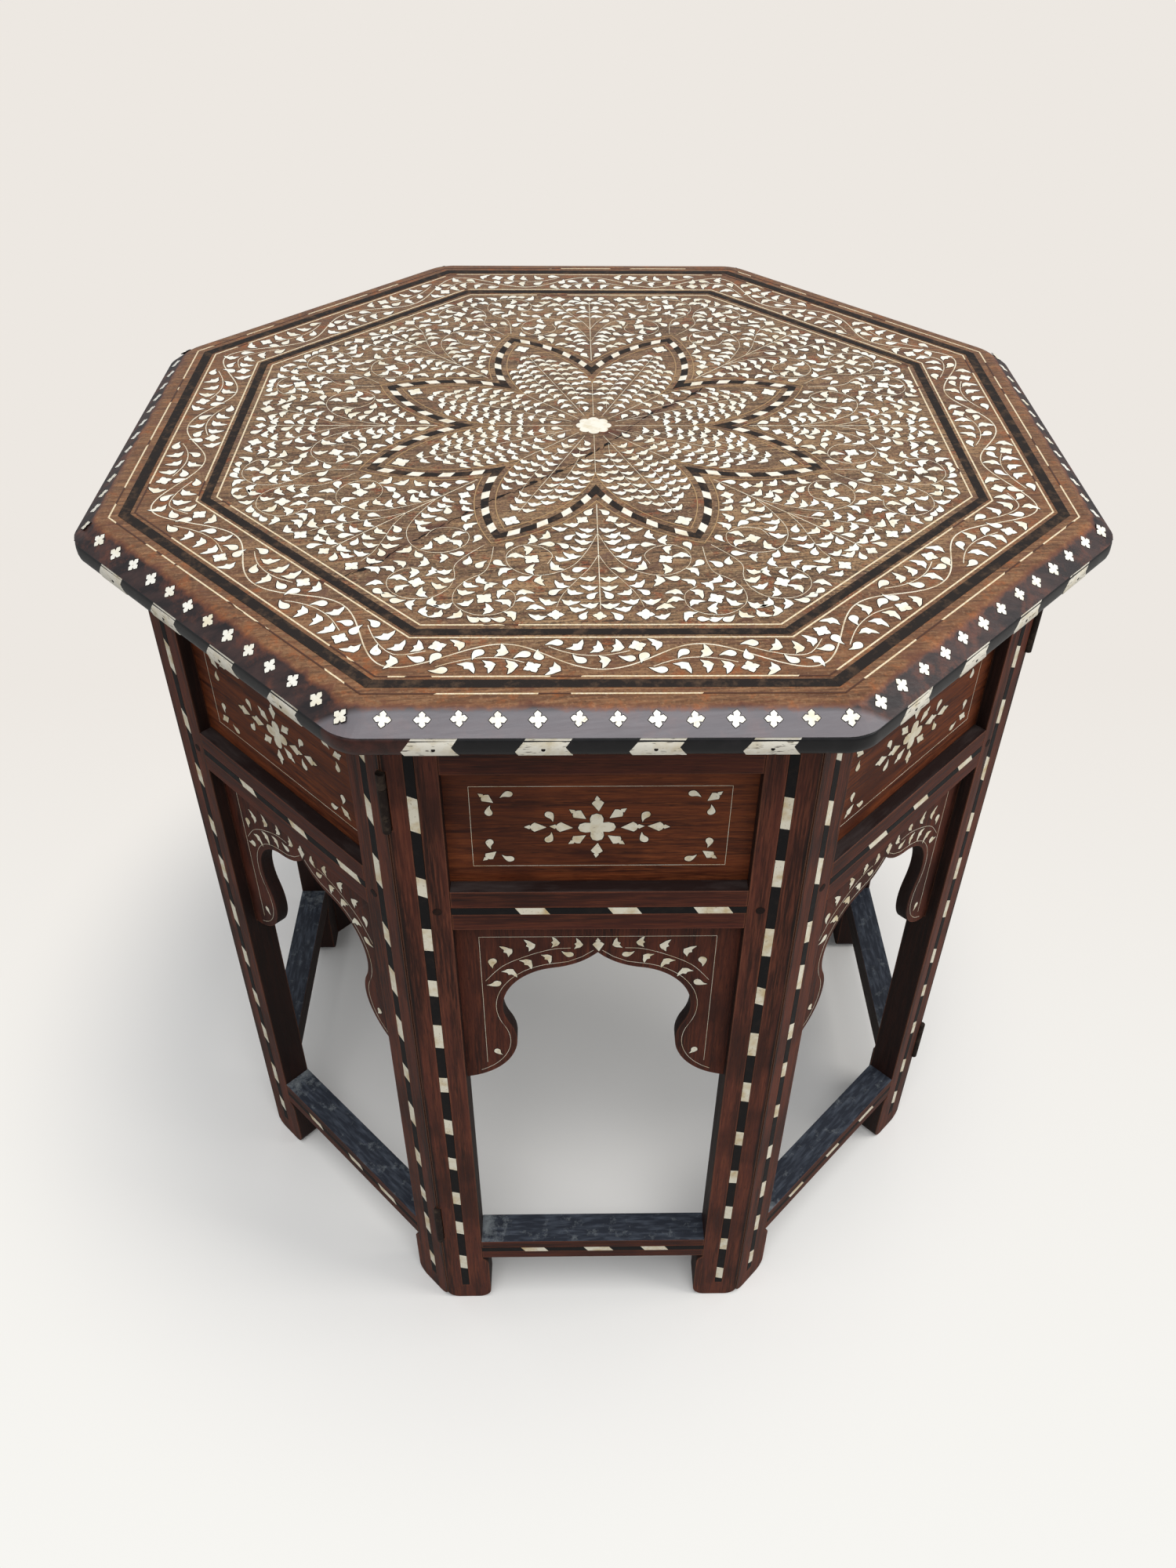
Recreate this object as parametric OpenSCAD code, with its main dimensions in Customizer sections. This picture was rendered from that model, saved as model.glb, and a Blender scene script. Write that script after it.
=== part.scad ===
// Octagonal side table: a loose inlaid top on a base of eight hinged frames.
// Origin: on the floor under the middle of the table, +Z up, -Y to the front.

/* [Table top] */
// Width of the table top across its flat sides
top_across = 580; // [560:1:620]
// Thickness of the table top
top_thick = 20; // [18:0.5:26]
// Level width of the sloping border
bevel_w = 13.5; // [8:0.5:18]
// Fall of the sloping border
bevel_drop = 9.5; // [5:0.5:11]
// Depth of the edge strips, measured inwards
edge_d = 6; // [4:0.5:8]
// Swell of the edge strips' rounded face
edge_swell = 0.8; // [0.4:0.1:1.5]
// How far the edge strips stand out past the sloping border
edge_proud = 0.4; // [0.2:0.1:0.8]
// Width of the open seam between two strips at a corner
seam = 0.1; // [0.05:0.05:0.3]

/* [Lines and bands in the top] */
// Depth of every groove cut for bone or ebony
inlay_depth = 2; // [1.5:0.1:2.5]
// How far bone and ebony stand out of the shrunken wood
inlay_proud = 0.15; // [0.05:0.05:0.2]
// Room for glue on either side of a line or band
glue_gap = 0.02; // [0.01:0.01:0.05]
// Width of a bone line
bone_line_w = 0.9; // [0.8:0.1:2]
// Inset of the outer bone line from the edge of the flat
outer_line_in = 7; // [5:0.5:9]
// Inset of the outer ebony band from the edge of the flat
outer_band_in = 12; // [11:0.5:13]
// Width of the outer ebony band
outer_band_w = 6; // [4:0.5:7]
// Space between the outer ebony band and the bone line inside it
outer_band_space = 2; // [1:0.5:4]
// Inset of the vine border's inner bone line from the edge of the flat
vine_line_in = 51; // [45:0.5:60]
// Space between that line and the inner ebony band
vine_line_space = 1.7; // [1:0.1:4]
// Width of the inner ebony band
inner_band_w = 5; // [3:0.5:7]
// Space between the inner ebony band and the last bone line
inner_band_space = 3; // [1:0.5:5]

/* [Rosette in the top] */
// Distance from the middle of the top to the tip of a petal
petal_tip = 142; // [125:1:150]
// Radius of the two curves that bound a petal
petal_curve_r = 96; // [90:1:110]
// Half the greatest width of a petal
petal_half_w = 30.7; // [28:0.1:34]
// Width of the banding round the petals
petal_band_w = 4.4; // [3:0.1:6]
// Space between that banding and the bone line on either side of it
petal_line_space = 3.5; // [2:0.5:4]
// Width of those bone lines
petal_line_w = 0.6; // [0.5:0.1:1.2]
// Number of bone pieces along one side of a petal
petal_bones = 4; // [3:1:5]
// Angle of the first bone piece from a petal's waist, seen from the curve's centre
petal_bone_start = 9; // [7:0.5:12]
// Angle between the bone pieces of a petal
petal_bone_step = 10.8; // [9:0.1:12]
// Angle that a bone piece of a petal covers
petal_bone_angle = 4.4; // [4:0.1:7]
// Slant of the ends of a petal's bone pieces, as an angle
petal_bone_slant = 1.2; // [0:0.1:2]
// Radius of the bone rosette in the middle
centre_r = 11; // [9:0.5:13]
// Radius of its lobes
centre_lobe_r = 3.4; // [3:0.1:4]

/* [Bone in the edge strips] */
// Distance between the bone pieces of an edge strip
edge_bone_pitch = 52; // [46:1:58]
// Length of a bone piece
edge_bone_len = 21; // [16:1:28]
// Depth of the swallow tail at its ends
edge_bone_tail = 4; // [1:0.5:6]

/* [Base] */
// Width of the base across its flat sides
base_across = 524; // [500:1:540]
// Height of the base
base_h = 565; // [520:1:620]
// Thickness of the stiles and rails
frame_t = 21; // [20:0.5:24]
// Width of a stile on its outer face
stile_w = 28.5; // [27:0.5:32]
// Space between the mitred edges of two frames
mitre_gap = 0.4; // [0.3:0.05:0.8]
// Space between the top and the base
top_gap = 0.3; // [0.2:0.1:0.6]

/* [Rails] */
// Height of the top rail
top_rail_h = 36; // [28:1:44]
// Height of the opening for the frieze panel
frieze_h = 84; // [70:1:96]
// Height of the middle rail
middle_rail_h = 30; // [26:1:36]
// Height of the stretcher
stretcher_h = 22; // [18:1:28]
// Height of the stretcher above the floor
stretcher_z = 58; // [50:1:80]
// Length of a tenon
tenon_len = 14; // [10:0.5:15]
// Thickness of a tenon
tenon_t = 7; // [5:0.5:8]
// Shoulder above and below a tenon
tenon_shoulder = 4; // [3:0.5:5]

/* [Panels] */
// Thickness of the thin panels
panel_t = 9; // [7:0.5:10]
// Recess of the thin panels behind the outer face
panel_recess = 8.5; // [6:0.5:10]
// Depth of the grooves that hold the thin panels
groove_d = 6; // [4:0.5:7]

/* [Arch] */
// Distance from the middle rail down to the point of the arch
arch_point_drop = 29.5; // [20:0.5:36]
// Distance from the middle rail down to the centres of the lobes
lobe_drop = 78; // [72:0.5:86]
// Radius of a lobe
lobe_r = 35.6; // [32:0.1:38]
// Distance from the middle of the arch to the centre of a lobe
lobe_x = 20; // [16:0.5:24]
// Angle at which the lobe turns into the point
point_turn = 8; // [4:1:14]
// Radius of the swelling below a lobe
swell_r = 37; // [34:0.5:42]
// Distance of the swelling's centre beyond the edge of the stile
swell_out = 5; // [3:0.5:8]

/* [Feet] */
// How far a foot swells into the opening
foot_swell = 4; // [2:0.5:6]
// Radius of the rounded corners under a foot
foot_r = 9; // [6:0.5:12]
// Radius at the top of a foot's swelling
foot_top_r = 8; // [6:0.5:10]
// Drop from the stretcher to the middle of that radius
foot_top_drop = 10; // [9:0.5:14]

/* [Banding] */
// Width of the banding
band_w = 5; // [4:0.5:7]
// Height of the banding in the stretcher
stretcher_band_w = 5; // [3:0.5:6]
// Height at which the banding of a stile ends
band_end_z = 18; // [14:1:30]
// Height of the middle of the lowest bone piece in a stile
first_bone_z = 52; // [50:1:60]
// Distance between the bone pieces of a stile
bone_pitch = 45; // [40:0.5:52]
// Length of a bone piece
bone_len = 16; // [12:0.5:20]
// Slant of the ends of a bone piece
bone_slant = 3; // [0:0.5:5]
// Distance between the bone pieces of a rail
rail_bone_pitch = 46; // [40:1:50]
// Depth of the banding
band_depth = 2.5; // [1.5:0.5:3]

/* [Hinges] */
// Height of a hinge
hinge_h = 40; // [30:1:44]
// Distance from the top of the base down to the upper hinge
upper_hinge_drop = 34; // [20:1:50]
// Height of the lower hinge above the floor
lower_hinge_z = 85; // [70:1:100]
// Thickness of a hinge leaf
leaf_t = 1.2; // [1:0.1:1.6]
// Width of a hinge leaf, measured from the pin
leaf_w = 12; // [9:0.5:14]
// Radius of the knuckles
knuckle_r = 2.4; // [2.2:0.1:2.8]
// Radius of the hinge pins
pin_r = 1.2; // [1:0.05:1.4]
// Running clearance round a hinge pin
pin_fit = 0.05; // [0.02:0.01:0.1]
// Space between the knuckles, and round them in the wood
knuckle_gap = 0.3; // [0.2:0.05:0.5]
// Distance of the hinge pins outside the faces of the frames
pin_out = 0.3; // [0.2:0.05:0.5]

/* [Hidden] */
$fn = 96;
SIDES = 8;
TURN = 360 / SIDES;
half_turn = TURN / 2;
slack = 1;
PANELS = ["front", "front_right", "right", "back_right", "back", "back_left", "left", "front_left"];
PIECES = ["stiles", "rails", "frieze_panel", "arch_panel", "ebony_banding", "bone_banding", "hinges"];

// The top
top_ap = top_across / 2;
flat_ap = top_ap - bevel_w;
top_z = base_h + top_gap;
top_face_z = top_z + top_thick;
edge_h = top_thick - bevel_drop;
edge_back_ap = top_ap - edge_d;
edge_curve_r = (pow(edge_h / 2, 2) + pow(edge_swell, 2)) / (2 * edge_swell);
outer_band_ap = flat_ap - outer_band_in;
middle_line_ap = outer_band_ap - outer_band_w - outer_band_space;
vine_line_ap = flat_ap - vine_line_in;
inner_band_ap = vine_line_ap - bone_line_w - vine_line_space;
last_line_ap = inner_band_ap - inner_band_w - inner_band_space;
LINES = [flat_ap - outer_line_in, middle_line_ap, vine_line_ap, last_line_ap];
BANDS = [[outer_band_ap, outer_band_w], [inner_band_ap, inner_band_w]];

// The rosette: each petal is bounded by two curves, with x along the petal.
// Their centres lie level with its greatest width.
petal_centre_y = petal_curve_r - petal_half_w;
petal_centre_x = petal_tip - sqrt(pow(petal_curve_r, 2) - pow(petal_centre_y, 2));
PETAL_LINES = [-1, 1] * (petal_band_w / 2 + petal_line_space + petal_line_w / 2);
edge_bone_xs = [for (k = [-1.5 : 1.5]) k * edge_bone_pitch];

// The frames, with x along the face, y inwards from the outer face and z up
base_ap = base_across / 2;
half_side = base_ap * tan(half_turn);
gap_x = mitre_gap / 2 / cos(half_turn);
open_x = half_side - stile_w;
top_rail_z = base_h - top_rail_h;
middle_rail_z = top_rail_z - frieze_h - middle_rail_h;
middle_rail_top = middle_rail_z + middle_rail_h;
tenon_y = (frame_t - tenon_t) / 2;
band_x = open_x + stile_w / 2;

// The arch
point_z = middle_rail_z - arch_point_drop;
lobe_z = middle_rail_z - lobe_drop;
swell_x = open_x + swell_out;
swell_z = lobe_z - sqrt(pow(lobe_r + swell_r, 2) - pow(swell_x - lobe_x, 2));
meet_z = lobe_z - (lobe_z - swell_z) * lobe_r / (lobe_r + swell_r);
turn_x = lobe_x + lobe_r * sin(point_turn);
turn_z = lobe_z + lobe_r * cos(point_turn);
point_rise = point_z - turn_z;
point_r = (pow(turn_x, 2) + pow(point_rise, 2))
    / (2 * (point_rise * cos(point_turn) - turn_x * sin(point_turn)));
arch_end_z = swell_z - sqrt(pow(swell_r, 2) - pow(swell_out, 2));

// The hinges
hinge_zs = [lower_hinge_z, base_h - upper_hinge_drop - hinge_h];
outer_pin_x = (base_ap + pin_out) / cos(half_turn);
inner_pin_x = (base_ap - frame_t - pin_out) / cos(half_turn);
knuckle_h = hinge_h / 4;

// One octagonal plate
module octagon(apothem, height) {
    rotate([0, 0, half_turn])
        cylinder(r = apothem / cos(half_turn), h = height, $fn = SIDES);
}

// One mitred strip of an octagonal band, on the front side
module side_strip(outer_ap, width, height) {
    inner_ap = outer_ap - width;
    outer_x = outer_ap * tan(half_turn) - seam / 2 / cos(half_turn);
    inner_x = inner_ap * tan(half_turn) - seam / 2 / cos(half_turn);
    linear_extrude(height = height)
        polygon([[-inner_x, -inner_ap], [-outer_x, -outer_ap], [outer_x, -outer_ap], [inner_x, -inner_ap]]);
}

// The groove for an octagonal band
module band_groove(outer_ap, width) {
    translate([0, 0, top_face_z - inlay_depth])
        difference() {
            octagon(outer_ap + glue_gap, inlay_depth + slack);
            translate([0, 0, -slack]) octagon(outer_ap - width - glue_gap, inlay_depth + 3 * slack);
        }
}

// Section through the board, from the middle of one side to the middle of the opposite one
module board_section() {
    lip_ap = top_ap - edge_proud;
    half = [
        [edge_back_ap, top_z], [edge_back_ap, top_z + edge_h], [lip_ap, top_z + edge_h],
        [lip_ap, top_face_z - bevel_drop * (lip_ap - flat_ap) / bevel_w], [flat_ap, top_face_z]
    ];
    polygon(concat(half, [for (k = [len(half) - 1 : -1 : 0]) [-half[k][0], half[k][1]]]));
}

// Outline of the eight petals together, made larger or smaller on all sides.
// The circle fills the middle, where the petals' inner tips would leave a star open.
module rosette(grow) {
    circle(r = petal_half_w);
    for (petal = [0 : SIDES - 1])
        rotate(TURN * petal + half_turn)
            intersection_for(side = [-1, 1])
                translate([petal_centre_x, side * petal_centre_y]) circle(r = petal_curve_r + grow);
}

// A line of even width that follows the petals
module rosette_line(grow, width) {
    difference() {
        rosette(grow + width / 2);
        rosette(grow - width / 2);
    }
}

// Plan of one slanted bone piece in the banding of a petal
module petal_bone(angle, width) {
    function place(r, turn) = [petal_centre_x + r * sin(turn), r * cos(turn) - petal_centre_y];
    inner_r = petal_curve_r - width / 2;
    outer_r = petal_curve_r + width / 2;
    start = angle - petal_bone_angle / 2;
    stop = angle + petal_bone_angle / 2;
    intersection() {
        polygon([
            place(inner_r - slack, start - petal_bone_slant), place(outer_r + slack, start + petal_bone_slant),
            place(outer_r + slack, stop + petal_bone_slant), place(inner_r - slack, stop - petal_bone_slant)
        ]);
        difference() {
            translate([petal_centre_x, -petal_centre_y]) circle(r = outer_r);
            translate([petal_centre_x, -petal_centre_y]) circle(r = inner_r);
        }
    }
}

module petal_bones_plan() {
    for (petal = [0 : SIDES - 1], side = [0, 1], k = [0 : petal_bones - 1])
        rotate(TURN * petal + half_turn) mirror([0, side])
            petal_bone(petal_bone_start + k * petal_bone_step, petal_band_w);
}

// The bone rosette in the middle, with one lobe to a petal
module centre_plan() {
    circle(r = centre_r - centre_lobe_r);
    for (lobe = [0 : SIDES - 1])
        rotate(TURN * lobe) translate([centre_r - centre_lobe_r, 0]) circle(r = centre_lobe_r);
}

// Raises a plan out of the grooves in the top
module let_in() {
    translate([0, 0, top_face_z - inlay_depth]) linear_extrude(height = inlay_depth + inlay_proud) children();
}

module top_board() {
    color("#6b4a33")
        difference() {
            intersection_for(pair = [0 : SIDES / 2 - 1])
                rotate([0, 0, TURN * pair])
                    translate([0, top_ap, 0]) rotate([90, 0, 0])
                        linear_extrude(height = 2 * top_ap) board_section();
            for (ap = LINES) band_groove(ap, bone_line_w);
            for (band = BANDS) band_groove(band[0], band[1]);
            let_in() {
                rosette_line(0, petal_band_w);
                for (grow = PETAL_LINES) rosette_line(grow, petal_line_w);
                centre_plan();
            }
        }
}

// One edge strip at the front, rounded outside and mitred at the corners
module edge_strip() {
    intersection() {
        translate([0, 0, top_z - slack]) side_strip(top_ap + slack, edge_d + 2 * slack, edge_h + 2 * slack);
        translate([top_ap, -edge_back_ap, top_z])
            rotate([0, 0, -90]) rotate([90, 0, 0])
                linear_extrude(height = 2 * top_ap)
                    intersection() {
                        square([edge_d, edge_h]);
                        translate([edge_d - edge_curve_r, edge_h / 2]) circle(r = edge_curve_r);
                    }
    }
}

// The bone pieces of one edge strip: their ends are slanted and cut to a swallow tail
module edge_bones() {
    half_len = edge_bone_len / 2;
    for (x = edge_bone_xs)
        translate([x, slack - edge_back_ap, top_z])
            rotate([90, 0, 0])
                linear_extrude(height = edge_d + 2 * slack)
                    polygon([
                        [-half_len - edge_bone_tail / 2, -slack], [half_len + edge_bone_tail / 2, -slack],
                        [half_len - edge_bone_tail / 2, edge_h / 2],
                        [half_len + edge_bone_tail / 2, edge_h + slack],
                        [-half_len + edge_bone_tail / 2, edge_h + slack], [-half_len - edge_bone_tail, edge_h / 4]
                    ]);
}

module top_edge_strips() {
    color("#1e1c1e")
        for (side = [0 : SIDES - 1])
            rotate([0, 0, TURN * side])
                difference() {
                    edge_strip();
                    edge_bones();
                }
}

// The two octagonal bands, and the ebony between the bone pieces round the petals
module top_ebony_bands() {
    color("#1e1c1e") {
        for (side = [0 : SIDES - 1], band = BANDS)
            rotate([0, 0, TURN * side])
                translate([0, 0, top_face_z - inlay_depth])
                    side_strip(band[0], band[1], inlay_depth + inlay_proud);
        let_in()
            difference() {
                rosette_line(0, petal_band_w);
                petal_bones_plan();
            }
    }
}

// The bone lines, the bone pieces round the petals and in the edge, and the middle rosette
module top_bone_lines() {
    color("#e8dfc8") {
        for (side = [0 : SIDES - 1])
            rotate([0, 0, TURN * side]) {
                for (ap = LINES)
                    translate([0, 0, top_face_z - inlay_depth])
                        side_strip(ap, bone_line_w, inlay_depth + inlay_proud);
                intersection() {
                    edge_strip();
                    edge_bones();
                }
            }
        let_in() {
            petal_bones_plan();
            for (grow = PETAL_LINES) rosette_line(grow, petal_line_w);
            centre_plan();
        }
    }
}

// Puts a piece that is drawn at the front into the frame with this number
module in_frame(number) {
    rotate([0, 0, TURN * number]) translate([0, -base_ap, 0]) children();
}

// Puts a shape that is drawn in x and z upright, from one depth to another
module upright(from_y, depth) {
    translate([0, from_y + depth, 0]) rotate([90, 0, 0]) linear_extrude(height = depth) children();
}

// Plan of a right stile, mitred to half the angle between two frames
module stile_plan() {
    polygon([
        [open_x - foot_swell, 0], [half_side - gap_x, 0],
        [half_side - gap_x - frame_t * tan(half_turn), frame_t], [open_x - foot_swell, frame_t]
    ]);
}

// Front view of a right stile with its swelling, round-cornered foot
module stile_front() {
    foot_x = open_x - foot_swell;
    foot_top_z = stretcher_z - foot_top_drop;
    translate([open_x, foot_r]) square([stile_w, base_h - foot_r]);
    translate([foot_x, foot_r]) square([stile_w, foot_top_z - foot_r]);
    translate([foot_x + foot_top_r, foot_top_z]) circle(r = foot_top_r);
    translate([foot_x + foot_r, 0]) square([stile_w + foot_swell - 2 * foot_r, 2 * foot_r]);
    for (x = [foot_x + foot_r, half_side - foot_r]) translate([x, foot_r]) circle(r = foot_r);
}

// The grooves for both thin panels, in the inner edge of a right stile
module panel_grooves() {
    translate([open_x - slack, panel_recess, arch_end_z])
        cube([groove_d + slack, panel_t, middle_rail_z + groove_d - arch_end_z]);
    translate([open_x - slack, panel_recess, middle_rail_top - groove_d])
        cube([groove_d + slack, panel_t, frieze_h + 2 * groove_d]);
}

// Heights of the lower and upper faces of the three tenons
TENONS = [
    [stretcher_z + tenon_shoulder, stretcher_z + stretcher_h - tenon_shoulder],
    [middle_rail_z + groove_d, middle_rail_top - groove_d],
    [top_rail_z + groove_d, base_h - tenon_shoulder]
];

// One tenon, or the mortise for it, at the right end of a rail
module tenon(heights) {
    translate([open_x - slack, tenon_y, heights[0]])
        cube([tenon_len + slack, tenon_t, heights[1] - heights[0]]);
}

// The pocket that the hinges take out of the mitred edge, seen in the corner's own axes
module hinge_pockets() {
    for (z = hinge_zs)
        translate([0, 0, z]) {
            translate([0, -mitre_gap / 2 - leaf_t, 0]) cube([leaf_w, leaf_t + mitre_gap, hinge_h]);
            translate([0, 0, -knuckle_gap])
                cylinder(r = knuckle_r + knuckle_gap, h = hinge_h + 2 * knuckle_gap);
        }
}

// Moves a shape drawn round a hinge pin to the right corner of the front frame.
// At an outer corner the leaves run inwards from the pin, at an inner one outwards.
module at_corner(outer) {
    pin_x = outer ? outer_pin_x : inner_pin_x;
    translate([0, base_ap, 0])
        rotate([0, 0, -90 + half_turn])
            translate([pin_x, 0, 0])
                mirror([outer ? 1 : 0, 0, 0]) children();
}

// Mirrors a shape to the left end of a frame
module ends(left) {
    mirror([left ? 1 : 0, 0, 0]) children();
}

// Even frames have their outer hinges at the left end, odd ones at the right
function is_outer(number, left) = (number % 2 == 0) == left;

module stile(outer) {
    difference() {
        intersection() {
            linear_extrude(height = base_h) stile_plan();
            upright(0, frame_t) stile_front();
        }
        panel_grooves();
        for (heights = TENONS) tenon(heights);
        translate([band_x - band_w / 2, -slack, band_end_z])
            cube([band_w, band_depth + slack, base_h]);
        at_corner(outer) hinge_pockets();
    }
}

module stiles(number) {
    color("#5a3022")
        in_frame(number)
            for (left = [false, true]) ends(left) stile(is_outer(number, left));
}

// One rail with its two tenons and the grooves above and below it
module rail(z, height, heights, groove_below, groove_above) {
    difference() {
        union() {
            translate([-open_x, 0, z]) cube([2 * open_x, frame_t, height]);
            for (left = [false, true]) ends(left) tenon(heights);
        }
        if (groove_below)
            translate([-open_x - slack, panel_recess, z - slack])
                cube([2 * open_x + 2 * slack, panel_t, groove_d + slack]);
        if (groove_above)
            translate([-open_x - slack, panel_recess, z + height - groove_d])
                cube([2 * open_x + 2 * slack, panel_t, groove_d + slack]);
    }
}

// The groove for the banding along a rail
module rail_band_groove(z, width) {
    translate([-open_x - slack, -slack, z - width / 2])
        cube([2 * open_x + 2 * slack, band_depth + slack, width]);
}

module rails(number) {
    color("#5a3022")
        in_frame(number) {
            difference() {
                rail(stretcher_z, stretcher_h, TENONS[0], false, false);
                rail_band_groove(stretcher_z + stretcher_h / 2, stretcher_band_w);
            }
            difference() {
                rail(middle_rail_z, middle_rail_h, TENONS[1], true, true);
                rail_band_groove(middle_rail_z + middle_rail_h / 2, band_w);
            }
            rail(top_rail_z, top_rail_h, TENONS[2], true, false);
        }
}

module frieze_panel(number) {
    color("#5f3524")
        in_frame(number)
            translate([-open_x - groove_d, panel_recess, middle_rail_top - groove_d])
                cube([2 * (open_x + groove_d), panel_t, frieze_h + 2 * groove_d]);
}

// The opening of the arch above the place where lobes and swellings meet
module arch_opening() {
    difference() {
        union() {
            for (side = [-1, 1]) translate([side * lobe_x, lobe_z]) circle(r = lobe_r);
            translate([-lobe_x, meet_z - slack]) square([2 * lobe_x, lobe_z - meet_z + slack]);
            polygon([[-turn_x, lobe_z], [turn_x, lobe_z], [turn_x, turn_z], [0, point_z], [-turn_x, turn_z]]);
        }
        for (side = [-1, 1])
            translate([side * (turn_x + point_r * sin(point_turn)), turn_z + point_r * cos(point_turn)])
                circle(r = point_r);
    }
}

// Front view of the arch panel
module arch_front() {
    half_w = open_x + groove_d;
    difference() {
        translate([-half_w, meet_z]) square([2 * half_w, middle_rail_z + groove_d - meet_z]);
        arch_opening();
    }
    for (side = [-1, 1])
        intersection() {
            translate([side * swell_x, swell_z]) circle(r = swell_r);
            translate([side * half_w - (side > 0 ? half_w : 0), arch_end_z])
                square([half_w, meet_z - arch_end_z]);
        }
}

module arch_panel(number) {
    color("#5f3524") in_frame(number) upright(panel_recess, panel_t) arch_front();
}

// One slanted bone piece, upright, with its middle at the origin
module bone_front(length, width) {
    polygon([
        [-width / 2, -length / 2], [width / 2, -length / 2 - bone_slant],
        [width / 2, length / 2 - bone_slant], [-width / 2, length / 2]
    ]);
}

// Heights of the bone pieces in a stile
bone_zs = [for (z = first_bone_z; z + bone_len / 2 < base_h; z = z + bone_pitch) z];
rail_bone_xs = [-rail_bone_pitch, 0, rail_bone_pitch];

module all_bone_fronts() {
    for (side = [-1, 1], z = bone_zs) translate([side * band_x, z]) bone_front(bone_len, band_w);
    for (x = rail_bone_xs) {
        translate([x, middle_rail_z + middle_rail_h / 2])
            mirror([1, 0]) rotate(90) bone_front(bone_len, band_w);
        translate([x, stretcher_z + stretcher_h / 2])
            mirror([1, 0]) rotate(90) bone_front(bone_len, stretcher_band_w);
    }
}

module bone_banding(number) {
    color("#e8dfc8") in_frame(number) upright(0, band_depth) all_bone_fronts();
}

module ebony_banding(number) {
    color("#1e1c1e")
        in_frame(number)
            upright(0, band_depth)
                difference() {
                    union() {
                        for (side = [-1, 1])
                            translate([side * band_x - band_w / 2, band_end_z])
                                square([band_w, base_h - band_end_z]);
                        translate([-open_x, middle_rail_z + (middle_rail_h - band_w) / 2])
                            square([2 * open_x, band_w]);
                        translate([-open_x, stretcher_z + (stretcher_h - stretcher_band_w) / 2])
                            square([2 * open_x, stretcher_band_w]);
                    }
                    all_bone_fronts();
                }
}

// Lower and upper ends of the knuckles of one leaf, above the foot of the hinge
function knuckles(has_ends) = has_ends
    ? [[0, knuckle_h], [hinge_h - knuckle_h, hinge_h]]
    : [[knuckle_h + knuckle_gap, hinge_h - knuckle_h - knuckle_gap]];

// One leaf, drawn round its pin
module hinge_leaf(has_ends) {
    plate_x = (pin_r + knuckle_r) / 2;
    difference() {
        union() {
            translate([plate_x, -mitre_gap / 2 - leaf_t, 0]) cube([leaf_w - plate_x, leaf_t, hinge_h]);
            for (k = knuckles(has_ends)) translate([0, 0, k[0]]) cylinder(r = knuckle_r, h = k[1] - k[0]);
        }
        for (k = knuckles(!has_ends))
            translate([0, 0, k[0] - knuckle_gap])
                cylinder(r = knuckle_r + knuckle_gap, h = k[1] - k[0] + 2 * knuckle_gap);
        translate([0, 0, -slack]) cylinder(r = pin_r + pin_fit, h = hinge_h + 2 * slack);
    }
}

// The leaves at both ends of a frame, and the pins at its right end
module hinges(number) {
    color("#4a4038")
        in_frame(number)
            for (left = [false, true], z = hinge_zs)
                ends(left)
                    at_corner(is_outer(number, left))
                        translate([0, 0, z]) {
                            hinge_leaf(!left);
                            if (!left) cylinder(r = pin_r, h = hinge_h);
                        }
}

module panel_piece(number, piece) {
    if (piece == "stiles") stiles(number);
    if (piece == "rails") rails(number);
    if (piece == "frieze_panel") frieze_panel(number);
    if (piece == "arch_panel") arch_panel(number);
    if (piece == "ebony_banding") ebony_banding(number);
    if (piece == "bone_banding") bone_banding(number);
    if (piece == "hinges") hinges(number);
}

top_board();
top_edge_strips();
top_ebony_bands();
top_bone_lines();
for (number = [0 : SIDES - 1], piece = PIECES)
    panel_piece(number, piece);
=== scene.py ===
import math
import random

import bmesh
import bpy
from mathutils import Matrix, Vector


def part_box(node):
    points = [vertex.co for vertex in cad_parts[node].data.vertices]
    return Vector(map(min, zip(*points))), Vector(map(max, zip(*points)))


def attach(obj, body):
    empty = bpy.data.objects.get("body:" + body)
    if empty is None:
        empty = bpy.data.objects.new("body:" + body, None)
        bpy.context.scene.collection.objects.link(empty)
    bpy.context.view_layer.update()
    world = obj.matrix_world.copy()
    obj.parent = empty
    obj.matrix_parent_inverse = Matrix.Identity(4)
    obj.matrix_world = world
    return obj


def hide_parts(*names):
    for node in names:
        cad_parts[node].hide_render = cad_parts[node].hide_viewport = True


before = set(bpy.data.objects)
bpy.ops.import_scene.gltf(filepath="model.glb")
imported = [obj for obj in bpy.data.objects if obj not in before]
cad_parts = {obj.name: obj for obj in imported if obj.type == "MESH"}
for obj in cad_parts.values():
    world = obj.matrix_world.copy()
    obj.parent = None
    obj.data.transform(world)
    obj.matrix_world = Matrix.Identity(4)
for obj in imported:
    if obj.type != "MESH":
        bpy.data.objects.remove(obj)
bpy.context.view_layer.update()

# The stiles. Sixteen posts of Indian rosewood, planed square, mitred along one edge and waxed.
# They carry the rest of the base. Hands and feet have rubbed their edges to a lighter red, and
# the faces that look inwards are nearly black: partly a black stain, partly painted shade.
MM = 0.001
PANELS = ["front", "front_right", "right", "back_right", "back", "back_left", "left", "front_left"]


def linear(code):
    """An sRGB hex colour as the linear values that a shader takes."""
    channels = [int(code[k:k + 2], 16) / 255 for k in (1, 3, 5)]
    return [c / 12.92 if c <= 0.04045 else ((c + 0.055) / 1.055) ** 2.4 for c in channels] + [1.0]


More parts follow.
